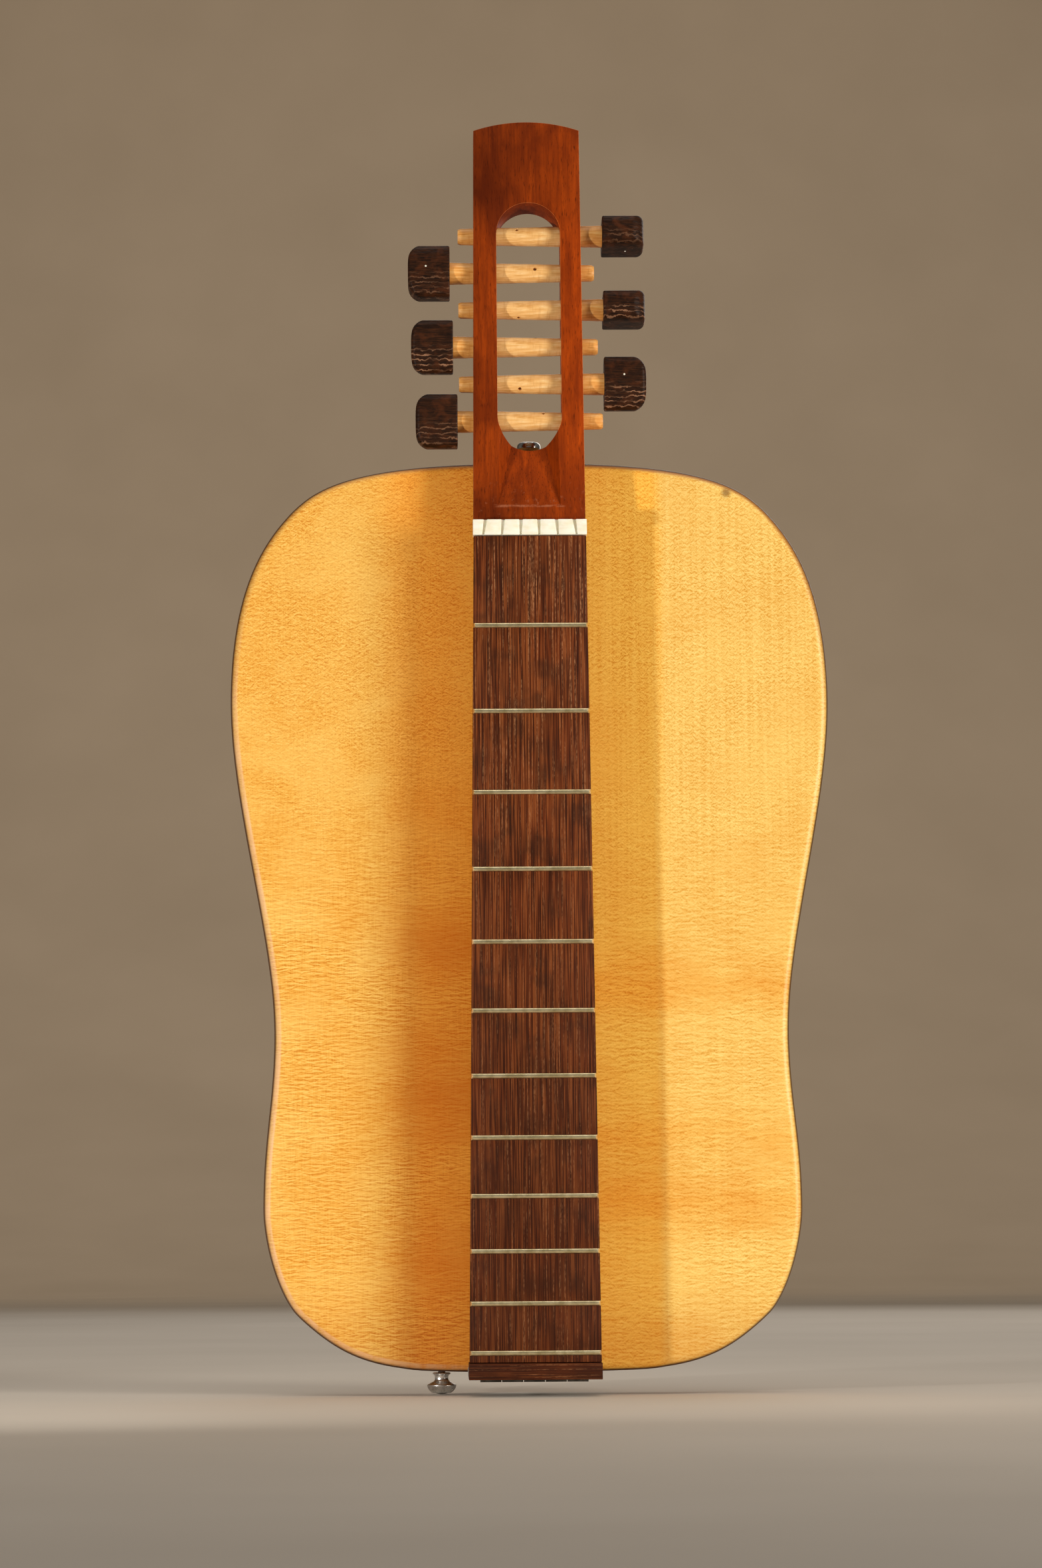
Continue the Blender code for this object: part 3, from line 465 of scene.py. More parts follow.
def cross_bands(tree, wood, right_share):
    """Bands of deeper orange across the plate, on the right and, near the neck, on the left."""
    wander = times(noise(tree, (24.0, 40.0, 8.0), 3.0, 0.6, 0.4), 30 * MM)
    height = added(object_axis(tree, "Z"), maths("SUBTRACT", wander, 15 * MM))
    share = maths("DIVIDE", height, BANDS_HEIGHT)
    right = ramp(share, ((0.24, 0.0), (0.33, 1.0), (0.41, 0.1), (0.47, 0.8), (0.53, 0.0),
                         (0.70, 0.0), (0.77, 0.9), (0.84, 0.0)))
    left = ramp(share, ((0.12, 0.0), (0.22, 0.7), (0.34, 0.0), (0.44, 0.1), (0.55, 1.0),
                        (0.66, 0.3), (0.76, 0.1), (0.85, 0.9), (0.94, 0.0)))
    left_share = times(axis_share(tree, "X", -78 * MM, -36 * MM),
                       maths("SUBTRACT", 1.0, right_share))
    wood = mix(times(right, times(right_share, 0.75)), wood, (0.95, 0.72, 0.42), "MULTIPLY")
    return mix(times(left, times(left_share, 0.7)), wood, (0.66, 0.235, 0.018))


def painted_neck_shade(tree, wood):
    """Painted shade: the bands each side of the folded neck, where it casts its shadows, are
    tinted a deeper orange.
    """
    left = times(axis_share(tree, "X", -66 * MM, -40 * MM), axis_share(tree, "X", 20 * MM, 0.0))
    right = times(axis_share(tree, "X", 0.0, 20 * MM), axis_share(tree, "X", 56 * MM, 49 * MM))
    lower = axis_share(tree, "Z", 360 * MM, 120 * MM)
    left = times(left, added(times(lower, 0.2), 0.6))
    tint = mix(lower, (1.40, 0.83, 0.18), (1.08, 0.64, 0.18))
    wood = mix(left, wood, tint, "MULTIPLY")
    return mix(times(right, 0.6), wood, (1.12, 0.83, 0.20), "MULTIPLY")


def plate_edge(tree, wood):
    """Painted highlight as a pale band down the left edge, painted shade round the tail and at the
    lower end, and a dark rim.
    """
    # painted highlight: a pale band on the lower left rounding, where the left lamp's sheen
    # spreads over worn lacquer
    on_left = times(axis_share(tree, "X", 10 * MM, -60 * MM),
                    axis_share(tree, "Z", 310 * MM, 240 * MM))
    rubbed_sheen = times(axis_share(tree, "Y", BACK_Y + 0.02 * MM, BACK_Y + 0.18 * MM), on_left)
    patches = ramp(noise(tree, (3.0, 3.0, 14.0), 3.0, 0.6), ((0.36, 0.35), (0.58, 1.0)))
    rubbed_sheen = times(rubbed_sheen, patches)
    wood = mix(times(rubbed_sheen, 0.8), wood, (0.86, 0.500, 0.250))
    # painted shade: a dark brown band along the rounding round the tail, where the edge turns away
    # from the light
    tail_shade = times(axis_share(tree, "Y", BACK_Y, BACK_Y + 0.9 * MM),
                 axis_share(tree, "Z", 240 * MM, 345 * MM))
    more = added(times(axis_share(tree, "X", -60 * MM, 30 * MM), 0.35), 0.5)
    wood = mix(times(tail_shade, more), wood, (0.36, 0.125, 0.018))
    # painted shade: the lower end a little darker
    wood = mix(axis_share(tree, "Z", 42 * MM, 2 * MM), wood, (0.86, 0.80, 0.76), "MULTIPLY")
    rim = axis_share(tree, "Y", BACK_Y + 0.7 * MM, BACK_Y + 2.0 * MM)
    wood = mix(times(rim, 0.95), wood, (0.050, 0.016, 0.004))
    ding = add_node(tree, "ShaderNodeVectorMath", {
        0: object_place(tree), 1: (DING_X, BACK_Y, DING_Z),
    }, operation="DISTANCE")
    spot = add_node(tree, "ShaderNodeMapRange", {
        "Value": ding.outputs["Value"], "From Min": 2.6 * MM, "From Max": 0.8 * MM,
    })
    return mix(times(spot.outputs["Result"], 0.7), wood, (0.16, 0.060, 0.020))


def maple_rib_material():
    material, tree, shader = new_material("maple_rib", Specular_IOR_Level=0.5)
    grain = noise(tree, (6.0, 0.9, 12.0), 4.0, 0.6, 0.4)
    curl = noise(tree, (3.0, 30.0, 3.0), 3.0, 0.5, 0.5)
    figure = mix(0.45, grain, curl)
    colour = ramp(figure, ((0.34, (0.34, 0.125, 0.016)), (0.52, (0.56, 0.24, 0.036)),
                           (0.68, (0.70, 0.35, 0.070))))
    paint(shader, colour)
    roughen(shader, figure, 0.4, 0.26)
    bump(shader, grain, 0.1, 0.1 * MM)
    return material


def spruce_material(name, gloss):
    """Straight upright grain: narrow dark lines between wide pale ones."""
    material, tree, shader = new_material(name, Coat_Weight=gloss, Coat_Roughness=0.15)
    rings = noise(tree, (1.5, 60.0, 420.0), 2.0, 0.5)
    fine = noise(tree, (0.5, 8.0, 30.0), 3.0, 0.6)
    silk = noise(tree, (14.0, 30.0, 3.0), 3.0, 0.6, 0.6)
    lines = ramp(rings, ((0.35, 1.0), (0.47, 0.55), (0.52, 0.0), (0.60, 0.7), (0.72, 1.0)))
    pale = mix(ramp(silk, ((0.4, 0.0), (0.65, 0.5))), (0.78, 0.50, 0.20), (0.86, 0.60, 0.28))
    colour = mix(times(lines, 0.55), (0.58, 0.30, 0.085), pale)
    colour = mix(times(fine, 0.25), colour, (0.50, 0.26, 0.08))
    paint(shader, colour)
    roughen(shader, fine, 0.28 + 0.3 * (1 - gloss), 0.42 + 0.3 * (1 - gloss))
    bump(shader, lines, 0.08, 0.1 * MM)
    return material


def mahogany_material(name, worn=False):
    """Reddish brown with upright streaks and short dark pores. Worn edges are paler."""
    material, tree, shader = new_material(name, Specular_IOR_Level=0.06)
    streaks = noise(tree, (2.6, 5.0, 45.0), 4.0, 0.6, 0.4)
    fine = noise(tree, (0.7, 2.0, 22.0), 3.0, 0.6, 0.2)
    pores = noise(tree, (0.3, 0.5, 3.5), 2.0, 0.5)
    clouds = noise(tree, (12.0, 20.0, 26.0), 3.0, 0.55, 0.6)
    across = axis_share(tree, "X", -22 * MM, 22 * MM)
    cheeks = times(axis_share(tree, "Z", 478 * MM, 456 * MM),
                   axis_share(tree, "Z", HEAD_START_Z, HEAD_START_Z + 26 * MM))
    dark = (0.20, 0.048, 0.016) if worn else (0.066, 0.0080, 0.0010)
    light = (0.38, 0.120, 0.045) if worn else (0.230, 0.0330, 0.0022)
    middle = tuple(blend(a, b, 0.5) for a, b in zip(dark, light))
    grain = mix(0.35, streaks, fine)
    wood = ramp(grain, ((0.28, dark), (0.52, middle), (0.76, light)))
    wood = mix(ramp(clouds, ((0.36, 0.7), (0.60, 0.0))), wood, dark)
    bright = added(times(across, 0.5), times(cheeks, 0.38))
    wood = mix(bright, wood, (2.9, 2.9, 1.8), "MULTIPLY")
    wood = mix(ridge_wear(tree), wood, (0.34, 0.110, 0.050))
    pore_mask = ramp(pores, ((0.58, 0.0), (0.72, 0.65)))
    paint(shader, mix(pore_mask, wood, tuple(0.4 * c for c in dark)))
    roughen(shader, streaks, 0.62, 0.48)
    bump(shader, pores, 0.12, -0.1 * MM)
    return material


def ridge_wear(tree):
    """Pale worn marks along the ridge where the headstock's ramp begins, and a few beyond it."""
    ridge = HEAD_START_Z + RAMP_START
    line = times(axis_share(tree, "Z", ridge - 0.8 * MM, ridge),
                 axis_share(tree, "Z", ridge + 0.9 * MM, ridge + 0.1 * MM))
    inside = times(axis_share(tree, "X", -15 * MM, -13 * MM),
                   axis_share(tree, "X", 15 * MM, 13 * MM))
    breaks = ramp(noise(tree, (4.0, 4.0, 1.2), 3.0, 0.6), ((0.40, 0.0), (0.58, 1.0)))
    line = times(times(line, inside), breaks)
    scuffs = ramp(noise(tree, (2.2, 2.2, 2.6), 4.0, 0.65), ((0.60, 0.0), (0.74, 0.5)))
    near = times(axis_share(tree, "Z", HEAD_START_Z - 1 * MM, ridge),
                 axis_share(tree, "Z", ridge + 16 * MM, ridge + 4 * MM))
    return maths("MAXIMUM", times(line, 0.75), times(scuffs, near))


def wenge_material(name, along, seed=0.0, polish=0.5, shade=0.0):
    """Dark brown wood with fine pale lines along one axis, broken into dashes."""
    material, tree, shader = new_material(name, Specular_IOR_Level=0.1)
    line_size = {"X": (50.0, 2.0, 0.55), "Z": (0.55, 2.0, 50.0)}[along]
    fine_size = {"X": (30.0, 1.0, 0.42), "Z": (0.42, 1.0, 30.0)}[along]
    dash_size = {"X": (1.8, 1.0, 0.5), "Z": (0.5, 1.0, 1.8)}[along]
    offset = (seed * 3.7, seed * 1.3, seed * 5.1)
    lines = noise(tree, line_size, 3.0, 0.7, 0.0, offset)
    fine = noise(tree, fine_size, 2.0, 0.6, 0.0, offset)
    dashes = noise(tree, dash_size, 2.0, 0.6, 0.0, offset)
    smudges = noise(tree, (9.0, 9.0, 13.0), 2.0, 0.5, 0.3, offset)
    tint = noise(tree, (16.0, 20.0, 30.0), 2.0, 0.5, 0.0, offset)
    wood = mix(ramp(tint, ((0.42, 0.0), (0.62, 1.0))), (0.086, 0.0175, 0.0034),
                           (0.122, 0.0235, 0.0044))
    wood = mix(ramp(fine, ((0.38, 0.9), (0.50, 0.0))), wood, (0.024, 0.0048, 0.0010))
    wood = mix(ramp(fine, ((0.50, 0.0), (0.62, 0.85))), wood, (0.225, 0.0620, 0.0150))
    wood = mix(ramp(smudges, ((0.30, 0.55), (0.50, 0.0))), wood, (0.026, 0.0080, 0.0030))
    nearer_nut = axis_share(tree, "Z", 20 * MM, 240 * MM)
    wood = mix(times(maths("SUBTRACT", 1.0, nearer_nut), 0.5), wood, (0.030, 0.0070, 0.0020))
    # painted shade: the whole wood darkened by this share, for the joint plates' copy
    wood = mix(shade, wood, (0.026, 0.0060, 0.0018))
    line_mask = ramp(lines, ((0.56, 0.0), (0.62, 1.0)))
    dash_mask = ramp(dashes, ((0.42, 0.10), (0.60, 0.9)))
    worn = axis_share(tree, "Z", 180 * MM, 335 * MM)
    strength = added(times(worn, 0.65), 0.35)
    mask = times(times(line_mask, dash_mask), strength)
    paint(shader, mix(mask, wood, (0.38, 0.165, 0.070)))
    roughen(shader, lines, 0.72 - 0.2 * polish, 0.62 - 0.2 * polish)
    bump(shader, lines, 0.35, 0.08 * MM)
    return material


def wenge_head_material(number):
    """A peg head's dark wood, with wavy pale grain lines across its lower part at rest."""
    material, tree, shader = new_material(f"wenge_head_{number}", Specular_IOR_Level=0.12)
    offset = (number * 2.3, number * 0.7, number * 1.9)
    turned_over = PEG_TURNS[number - 1] > 45
    up = "Y" if turned_over else "Z"
    fine_size = (6.0, 0.45, 4.0) if turned_over else (6.0, 4.0, 0.45)
    fine = noise(tree, fine_size, 3.0, 0.6, 0.5, offset)
    clouds = noise(tree, (5.0, 5.0, 4.5), 3.0, 0.55, 0.3, offset)
    waver = noise(tree, (3.2, 3.2, 3.2), 3.0, 0.6, 0.0, offset)
    breaks = noise(tree, (7.0, 7.0, 2.2), 2.0, 0.5, 0.0, offset)
    level = added(object_axis(tree, up), times(waver, 3.6 * MM))
    wave = maths("SINE", times(level, 2 * math.pi / HEAD_LINE_SPACING))
    wood = ramp(fine, ((0.34, (0.006, 0.0018, 0.0006)), (0.55, (0.026, 0.0082, 0.0026)),
                       (0.72, (0.056, 0.0185, 0.0062))))
    wood = mix(ramp(clouds, ((0.50, 0.0), (0.70, 0.7))), wood, (0.072, 0.0190, 0.0050))
    reach = PEG_HEAD_HALF_THICKNESS if turned_over else PEG_HEAD_HALF_HEIGHT
    low_part = axis_share(tree, up, 0.15 * reach, -0.4 * reach)
    lines = ramp(added(times(wave, 0.5), 0.5), ((0.76, 0.0), (0.95, 1.0)))
    broken = ramp(breaks, ((0.38, 0.1), (0.56, 1.0)))
    mask = times(times(times(lines, broken), low_part), HEAD_LINES[number - 1])
    paint(shader, mix(mask, wood, (0.29, 0.145, 0.080)))
    roughen(shader, fine, 0.6, 0.42)
    bump(shader, wave, 0.35, 0.12 * MM)
    return material


def boxwood_material():
    material, tree, shader = new_material("boxwood", Specular_IOR_Level=0.35)
    grain = noise(tree, (9.0, 0.7, 0.7), 4.0, 0.6, 0.3)
    rings = noise(tree, (0.8, 6.0, 6.0), 3.0, 0.6)
    stains = noise(tree, (7.0, 5.0, 5.0), 2.0, 0.5)
    colour = ramp(grain, ((0.32, (0.64, 0.31, 0.075)), (0.52, (0.84, 0.49, 0.180)),
                          (0.70, (0.90, 0.63, 0.310))))
    colour = mix(ramp(rings, ((0.55, 0.0), (0.72, 0.4))), colour, (0.56, 0.24, 0.050))
    colour = mix(ramp(stains, ((0.52, 0.0), (0.70, 0.6))), colour, (0.62, 0.27, 0.055))
    outside = added(axis_share(tree, "X", 15 * MM, 24 * MM),
                    axis_share(tree, "X", -15 * MM, -24 * MM))
    paint(shader, mix(outside, colour, (1.0, 0.82, 0.58), "MULTIPLY"))
    roughen(shader, grain, 0.52, 0.4)
    bump(shader, rings, 0.2, 0.1 * MM)
    return material


def bone_material():
    material, tree, shader = new_material(
        "bone", Subsurface_Weight=0.15, Subsurface_Scale=0.002, Coat_Weight=0.2, Coat_Roughness=0.2
    )
    shader.inputs["Subsurface Radius"].default_value = (1.0, 0.6, 0.35)
    clouds = noise(tree, (5.0, 5.0, 3.0), 3.0, 0.5)
    fibres = noise(tree, (9.0, 0.6, 0.6), 3.0, 0.6)
    colour = ramp(clouds, ((0.35, (0.86, 0.80, 0.62)), (0.6, (0.93, 0.90, 0.78))))
    colour = mix(ramp(fibres, ((0.58, 0.0), (0.75, 0.3))), colour, (0.74, 0.60, 0.38))
    paint(shader, colour)
    roughen(shader, clouds, 0.4, 0.28)
    bump(shader, fibres, 0.05, 0.05 * MM)
    return material


def metal_material(name, dull, bright, rough_low, rough_high, size=(1.2, 1.2, 1.2)):
    """Metal with faint tarnish and fine scuffs."""
    material, tree, shader = new_material(name, Metallic=1.0)
    tarnish = noise(tree, (4.0, 4.0, 4.0), 3.0, 0.55)
    scuffs = noise(tree, size, 4.0, 0.65)
    paint(shader, mix(ramp(tarnish, ((0.38, 0.0), (0.62, 1.0))), dull, bright))
    roughen(shader, scuffs, rough_low, rough_high)
    bump(shader, scuffs, 0.06, 0.03 * MM)
    return material


def rosette_material():
    """Concentric dark and pale lines round a band of small blocks."""
    material, tree, shader = new_material("rosette", Coat_Weight=0.4, Coat_Roughness=0.15)
    centred = add_node(tree, "ShaderNodeVectorMath", {
        0: object_place(tree), 1: (0.0, FRONT_Y, SOUNDHOLE_Z),
    }, operation="SUBTRACT")
    distance = add_node(tree, "ShaderNodeVectorMath", {0: centred.outputs[0]}, operation="LENGTH")
    share = add_node(tree, "ShaderNodeMapRange", {
        "Value": distance.outputs["Value"], "From Min": ROSETTE_INNER, "From Max": ROSETTE_OUTER,
    })
    across = share.outputs["Result"]
    stops = [(0.0, 0.0), (0.06, 1.0), (0.12, 0.0), (0.20, 1.0), (0.26, 0.35),
             (0.74, 1.0), (0.80, 0.0), (0.88, 1.0), (0.94, 0.0)]
    lines = add_node(tree, "ShaderNodeValToRGB", {"Fac": across})
    lines.color_ramp.interpolation = "CONSTANT"
    elements = lines.color_ramp.elements
    while len(elements) < len(stops):
        elements.new(0.5)
    for element, (position, value) in zip(elements, stops):
        element.position = position
        element.color = (value, value, value, 1.0)
    parts = add_node(tree, "ShaderNodeSeparateXYZ", {"Vector": centred.outputs[0]})
    angle = maths("ARCTAN2", parts.outputs["Z"], parts.outputs["X"])
    teeth = maths("GREATER_THAN", maths("SINE", times(angle, 96.0)), 0.0)
    inside = times(maths("GREATER_THAN", across, 0.26), maths("LESS_THAN", across, 0.74))
    block = times(teeth, inside)
    grain = noise(tree, (0.5, 8.0, 6.0), 3.0, 0.6)
    wood = mix(lines.outputs["Color"], (0.05, 0.02, 0.012), (0.74, 0.47, 0.20))
    wood = mix(block, wood, (0.30, 0.075, 0.022))
    paint(shader, mix(times(grain, 0.3), wood, (0.12, 0.05, 0.02)))
    roughen(shader, grain, 0.3, 0.4)
    return material


MAPLE_BACK = maple_back_material()
MAPLE_RIB = maple_rib_material()
SPRUCE_TOP = spruce_material("spruce_top", 0.4)
SPRUCE_RAW = spruce_material("spruce_raw", 0.0)
MAHOGANY = mahogany_material("mahogany")
MAHOGANY_WORN = mahogany_material("mahogany_worn", True)
WENGE_BOARD = wenge_material("wenge_board", "Z")
# the joint plates' copy of the wenge is darkened by painted shade
WENGE_PLATE = wenge_material("wenge_plate", "X", 2.0, 0.5, 0.4)
WENGE_BRIDGE = wenge_material("wenge_bridge", "X", 5.0, 0.8)
BOXWOOD = boxwood_material()
BONE = bone_material()
NICKEL_SILVER = metal_material("nickel_silver", (0.56, 0.47, 0.26), (0.82, 0.72, 0.46), 0.26, 0.42)
CHROME = metal_material("chrome", (0.62, 0.61, 0.59), (0.90, 0.89, 0.87), 0.20, 0.36)
# a darkened copy of the chrome: painted dark reflection for the tail button
SHADED_CHROME = metal_material("shaded_chrome", (0.24, 0.23, 0.21), (0.46, 0.45, 0.43), 0.10, 0.24)
STEEL = metal_material("steel", (0.20, 0.18, 0.16), (0.36, 0.34, 0.31), 0.3, 0.5, (6.0, 0.3, 0.3))
ROSETTE = rosette_material()


# Camera, lights and floor

def make_camera():
    data = bpy.data.cameras.new("camera")
    data.lens = CAMERA_LENS
    data.sensor_width = CAMERA_SENSOR
    data.clip_start = 0.05
    data.clip_end = 50.0
    camera = bpy.data.objects.new("camera", data)
    bpy.context.scene.collection.objects.link(camera)
    aim = Vector((CAMERA_AIM_X, BOARD_TOP_Y, NUT_Z + CAMERA_AIM_ABOVE_NUT))
    forward = Vector((
        math.sin(CAMERA_YAW) * math.cos(CAMERA_LOOK_UP),
        math.cos(CAMERA_YAW) * math.cos(CAMERA_LOOK_UP),
        math.sin(CAMERA_LOOK_UP),
    ))
    turn = forward.to_track_quat("-Z", "Y").to_matrix().to_4x4()
    roll = Matrix.Rotation(-CAMERA_ROLL, 4, "Z")
    camera.matrix_world = Matrix.Translation(aim - forward * CAMERA_DISTANCE) @ turn @ roll
    bpy.context.scene.camera = camera


def aimed_light(name, kind, place, aim, power, colour):
    data = bpy.data.lights.new(name, kind)
    data.energy = power
    data.color = colour
    light = bpy.data.objects.new(name, data)
    light.location = place
    light.rotation_euler = (Vector(aim) - Vector(place)).to_track_quat("-Z", "Y").to_euler()
    light.visible_camera = False
    bpy.context.scene.collection.objects.link(light)
    return light


def spot_light(name, place, aim, cone, radius, power, colour):
    """A lamp whose light stays in a soft-edged cone, so the floor beside it isn't burnt out."""
    light = aimed_light(name, "SPOT", place, aim, power, colour)
    light.data.spot_size = math.radians(cone)
    light.data.spot_blend = 0.5
    light.data.shadow_soft_size = radius


def area_light(name, place, aim, size, power, colour):
    light = aimed_light(name, "AREA", place, aim, power, colour)
    light.data.shape = "RECTANGLE"
    light.data.size, light.data.size_y = size


def make_lights():
    """A small lamp from the left and a wide one from the right, with weak light all round."""
    middle = (0.0, 0.0, 0.25)
    spot_light("key_left", (-0.62, -0.62, 0.16), middle, 58, 0.022, 16.1, (1.0, 0.97, 0.90))
    spot_light("fill_right", (1.62, -1.25, 0.35), middle, 40, 0.40, 157.0, (1.0, 0.93, 0.83))
    area_light("top_soft", (0.0, -0.2, 2.2), middle, (1.6, 1.6), 16.0, (1.0, 0.95, 0.88))
    area_light("back_soft", (0.6, 2.0, 1.2), middle, (1.6, 1.2), 12.0, (1.0, 0.97, 0.93))
    area_light("wall_wash", (0.0, 3.4, 2.6), (0.0, 6.2, 1.0), (4.0, 0.6), 30.0, (1.0, 0.76, 0.50))
    world = bpy.data.worlds.new("studio")
    world.use_nodes = True
    background = world.node_tree.nodes["Background"]
    background.inputs["Color"].default_value = (1.0, 0.92, 0.82, 1.0)
    background.inputs["Strength"].default_value = 0.18
    bpy.context.scene.world = world
    bpy.context.scene.view_settings.view_transform = "Standard"


def make_floor():
    """A pale studio sweep: flat round the object, then rising in one curve behind it."""
    level = CAD_LOW.z - 0.2 * MM
    profile = [(FLOOR_FRONT, level), (FLOOR_BACK, level)]
    for step in range(1, 25):
        angle = math.pi / 2 * step / 24
        out = FLOOR_BACK + SWEEP_RADIUS * math.sin(angle)
        profile.append((out, level + SWEEP_RADIUS * (1 - math.cos(angle))))
    profile.append((FLOOR_BACK + SWEEP_RADIUS, level + SWEEP_HEIGHT))
    vertices = [(x, y, z) for y, z in profile for x in (-FLOOR_HALF_WIDTH, FLOOR_HALF_WIDTH)]
    faces = [(2 * i, 2 * i + 1, 2 * i + 3, 2 * i + 2) for i in range(len(profile) - 1)]
    floor = add_object("studio_floor", vertices, faces)
    floor.data.shade_smooth()
    material, tree, shader = new_material("floor_paper", Specular_IOR_Level=0.15)
    weave = noise(tree, (6.0, 6.0, 6.0), 4.0, 0.6)
    clouds = noise(tree, (240.0, 240.0, 240.0), 3.0, 0.5)
    colour = mix(clouds, (0.50, 0.445, 0.38), (0.60, 0.540, 0.47))
    paint(shader, colour)
    roughen(shader, weave, 0.85, 0.95)
    bump(shader, weave, 0.15, 0.3 * MM)
    floor.data.materials.append(material)


make_camera()
make_lights()
make_floor()


# The body's outline, read off the CAD back plate

def read_outline(steps=4):
    """The rim as a closed run of (x, z) points, made smooth between the CAD corners."""
    inner_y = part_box("back_plate")[1].y
    corners = {}
    for vertex in frame["nodes"]["back_plate"].data.vertices:
        x, y, z = vertex.co
        in_seat = abs(x) < SEAT_HALF_WIDTH + 1.0 * MM and z < 10 * MM
        if abs(y - inner_y) < 0.01 * MM and not in_seat:
            corners[(round(x, 5), round(z, 5))] = Vector((x, z))
    knots = list(corners.values()) + [Vector((0.0, 0.0))]
    knots.sort(key=lambda p: math.atan2(p.x, p.y - CAD_MIDDLE_Z))
    count = len(knots)
    smooth = []
    for i in range(count):
        p0, p1, p2, p3 = (knots[(i + k - 1) % count] for k in range(4))
        for step in range(steps):
            t = step / steps
            smooth.append(0.5 * (
                2 * p1 + (p2 - p0) * t + (2 * p0 - 5 * p1 + 4 * p2 - p3) * t * t
                + (3 * p1 - p0 - 3 * p2 + p3) * t ** 3
            ))
    return smooth


def inset_outline(points, inset):
    """The closed run moved inwards."""
    moved = []
    for i, point in enumerate(points):
        along = points[(i + 1) % len(points)] - points[i - 1]
        inwards = Vector((along.y, -along.x)).normalized()
        moved.append(point + inwards * inset)
    return moved


CAD_MIDDLE_Z = (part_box("back_plate")[0].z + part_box("back_plate")[1].z) / 2
OUTLINE = read_outline()


def plate(name, outer_y, inner_y, rounding, steps):
    """A plate of the body's outline with its outer edge rounded over."""
    inwards = 1 if inner_y > outer_y else -1
    levels = [(rounding + 2.0 * MM, outer_y)]
    for step in range(steps + 1):
        angle = math.pi / 2 * step / steps
        depth = rounding * (1 - math.cos(angle))
        levels.append((rounding * (1 - math.sin(angle)), outer_y + inwards * depth))
    levels += [(0.0, inner_y - inwards * 0.1 * MM), (0.1 * MM, inner_y)]
    rings = [[(p.x, y, p.y) for p in inset_outline(OUTLINE, inset)] for inset, y in levels]
    return loft(name, rings)


def side_run(side):
    """The outline on one side, from the tail's centre down to the neck joint's seat."""
    run = [p for p in OUTLINE if side * p.x > 0.5 * MM]
    run = [p for p in run if p.y > 20 * MM or side * p.x > SEAT_HALF_WIDTH + 0.5 * MM]
    run.sort(key=lambda p: -math.pi + math.atan2(side * p.x, p.y - CAD_MIDDLE_Z))
    tail = Vector((side * HAIRLINE, max(p.y for p in OUTLINE)))
    seat = Vector((side * SEAT_HALF_WIDTH, run[-1].y * 0.8))
    return [tail] + run + [seat]


def rib(name, side):
    low_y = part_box("back_plate")[1].y + HAIRLINE
    high_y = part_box("soundboard")[0].y - HAIRLINE
    thickness = 2.5 * MM
    soft = 0.15 * MM
    section = [
        (soft, low_y), (0.0, low_y + soft), (0.0, high_y - soft), (soft, high_y),
        (thickness, high_y), (thickness, low_y),
    ]
    run = side_run(side)
    rings = []
    for i, point in enumerate(run):
        along = run[min(i + 1, len(run) - 1)] - run[max(i - 1, 0)]
        inwards = side * Vector((along.y, -along.x)).normalized()
        rings.append([
            (point.x + inwards.x * inset, y, point.y + inwards.y * inset) for inset, y in section
        ])
    return loft(name, rings)


def make_body():
    seat_low = (-SEAT_HALF_WIDTH, -0.1, -0.1)
    seat_high = (SEAT_HALF_WIDTH, 0.1, SEAT_Z)
    back = plate("back_plate_fine", BACK_Y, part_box("back_plate")[1].y, PLATE_ROUNDING, 12)
    cut(back, box("seat", seat_low, seat_high))
    dress(back, "body", MAPLE_BACK, ["back_plate"])

    top = plate("soundboard_fine", FRONT_Y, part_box("soundboard")[0].y, TOP_ROUNDING, 8)
    cut(top, box("seat", seat_low, seat_high))
    ring = circle(SOUNDHOLE_RADIUS, 96, (0.0, SOUNDHOLE_Z))
    hole = loft("hole", [[(x, y, z) for x, z in ring] for y in (0.0, 0.1)])
    cut(top, hole)
    dress(top, "body", SPRUCE_TOP, ["soundboard"])

    soft = 0.1 * MM
    section = [
        (ROSETTE_INNER, -0.4), (ROSETTE_INNER, 0.04), (ROSETTE_INNER + soft, 0.07),
        (ROSETTE_OUTER - soft, 0.07), (ROSETTE_OUTER, 0.04), (ROSETTE_OUTER, -0.4),
    ]
    rings = []
    for radius, proud in section:
        ring = circle(radius, 128, (0.0, SOUNDHOLE_Z))
        rings.append([(x, FRONT_Y + proud * MM, z) for x, z in ring])
    dress(loft("rosette_inlay", rings, True), "body", ROSETTE)

    for side, label in ((-1, "left"), (1, "right")):
        dress(rib(f"rib_{label}_fine", side), "body", MAPLE_RIB, [f"rib_{label}"])

    for node, other in frame["nodes"].items():
        inner = "lining" in node or "brace" in node or "harmonic" in node
        if inner or node in ("neck_block", "tail_block"):
            other.data.materials.clear()
            other.data.materials.append(SPRUCE_RAW if inner else MAHOGANY)


def softened(node, width, segments, angle):
    """A copy of a CAD node with its edges rounded."""
    return round_edges(copied(f"{node}_fine", node), width, segments, angle)


def make_bridge():
    dress(softened("bridge", 0.5 * MM, 3, 30.0), "body", WENGE_BRIDGE, ["bridge"])
    dress(softened("saddle", 0.4 * MM, 3, 30.0), "body", BONE, ["saddle"])


# The neck

def board_half_width(z):
    low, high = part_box("fingerboard")
    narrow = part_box("headstock")[1].x
    share = (high.z - z) / (high.z - low.z)
    return blend(narrow, high.x, share)


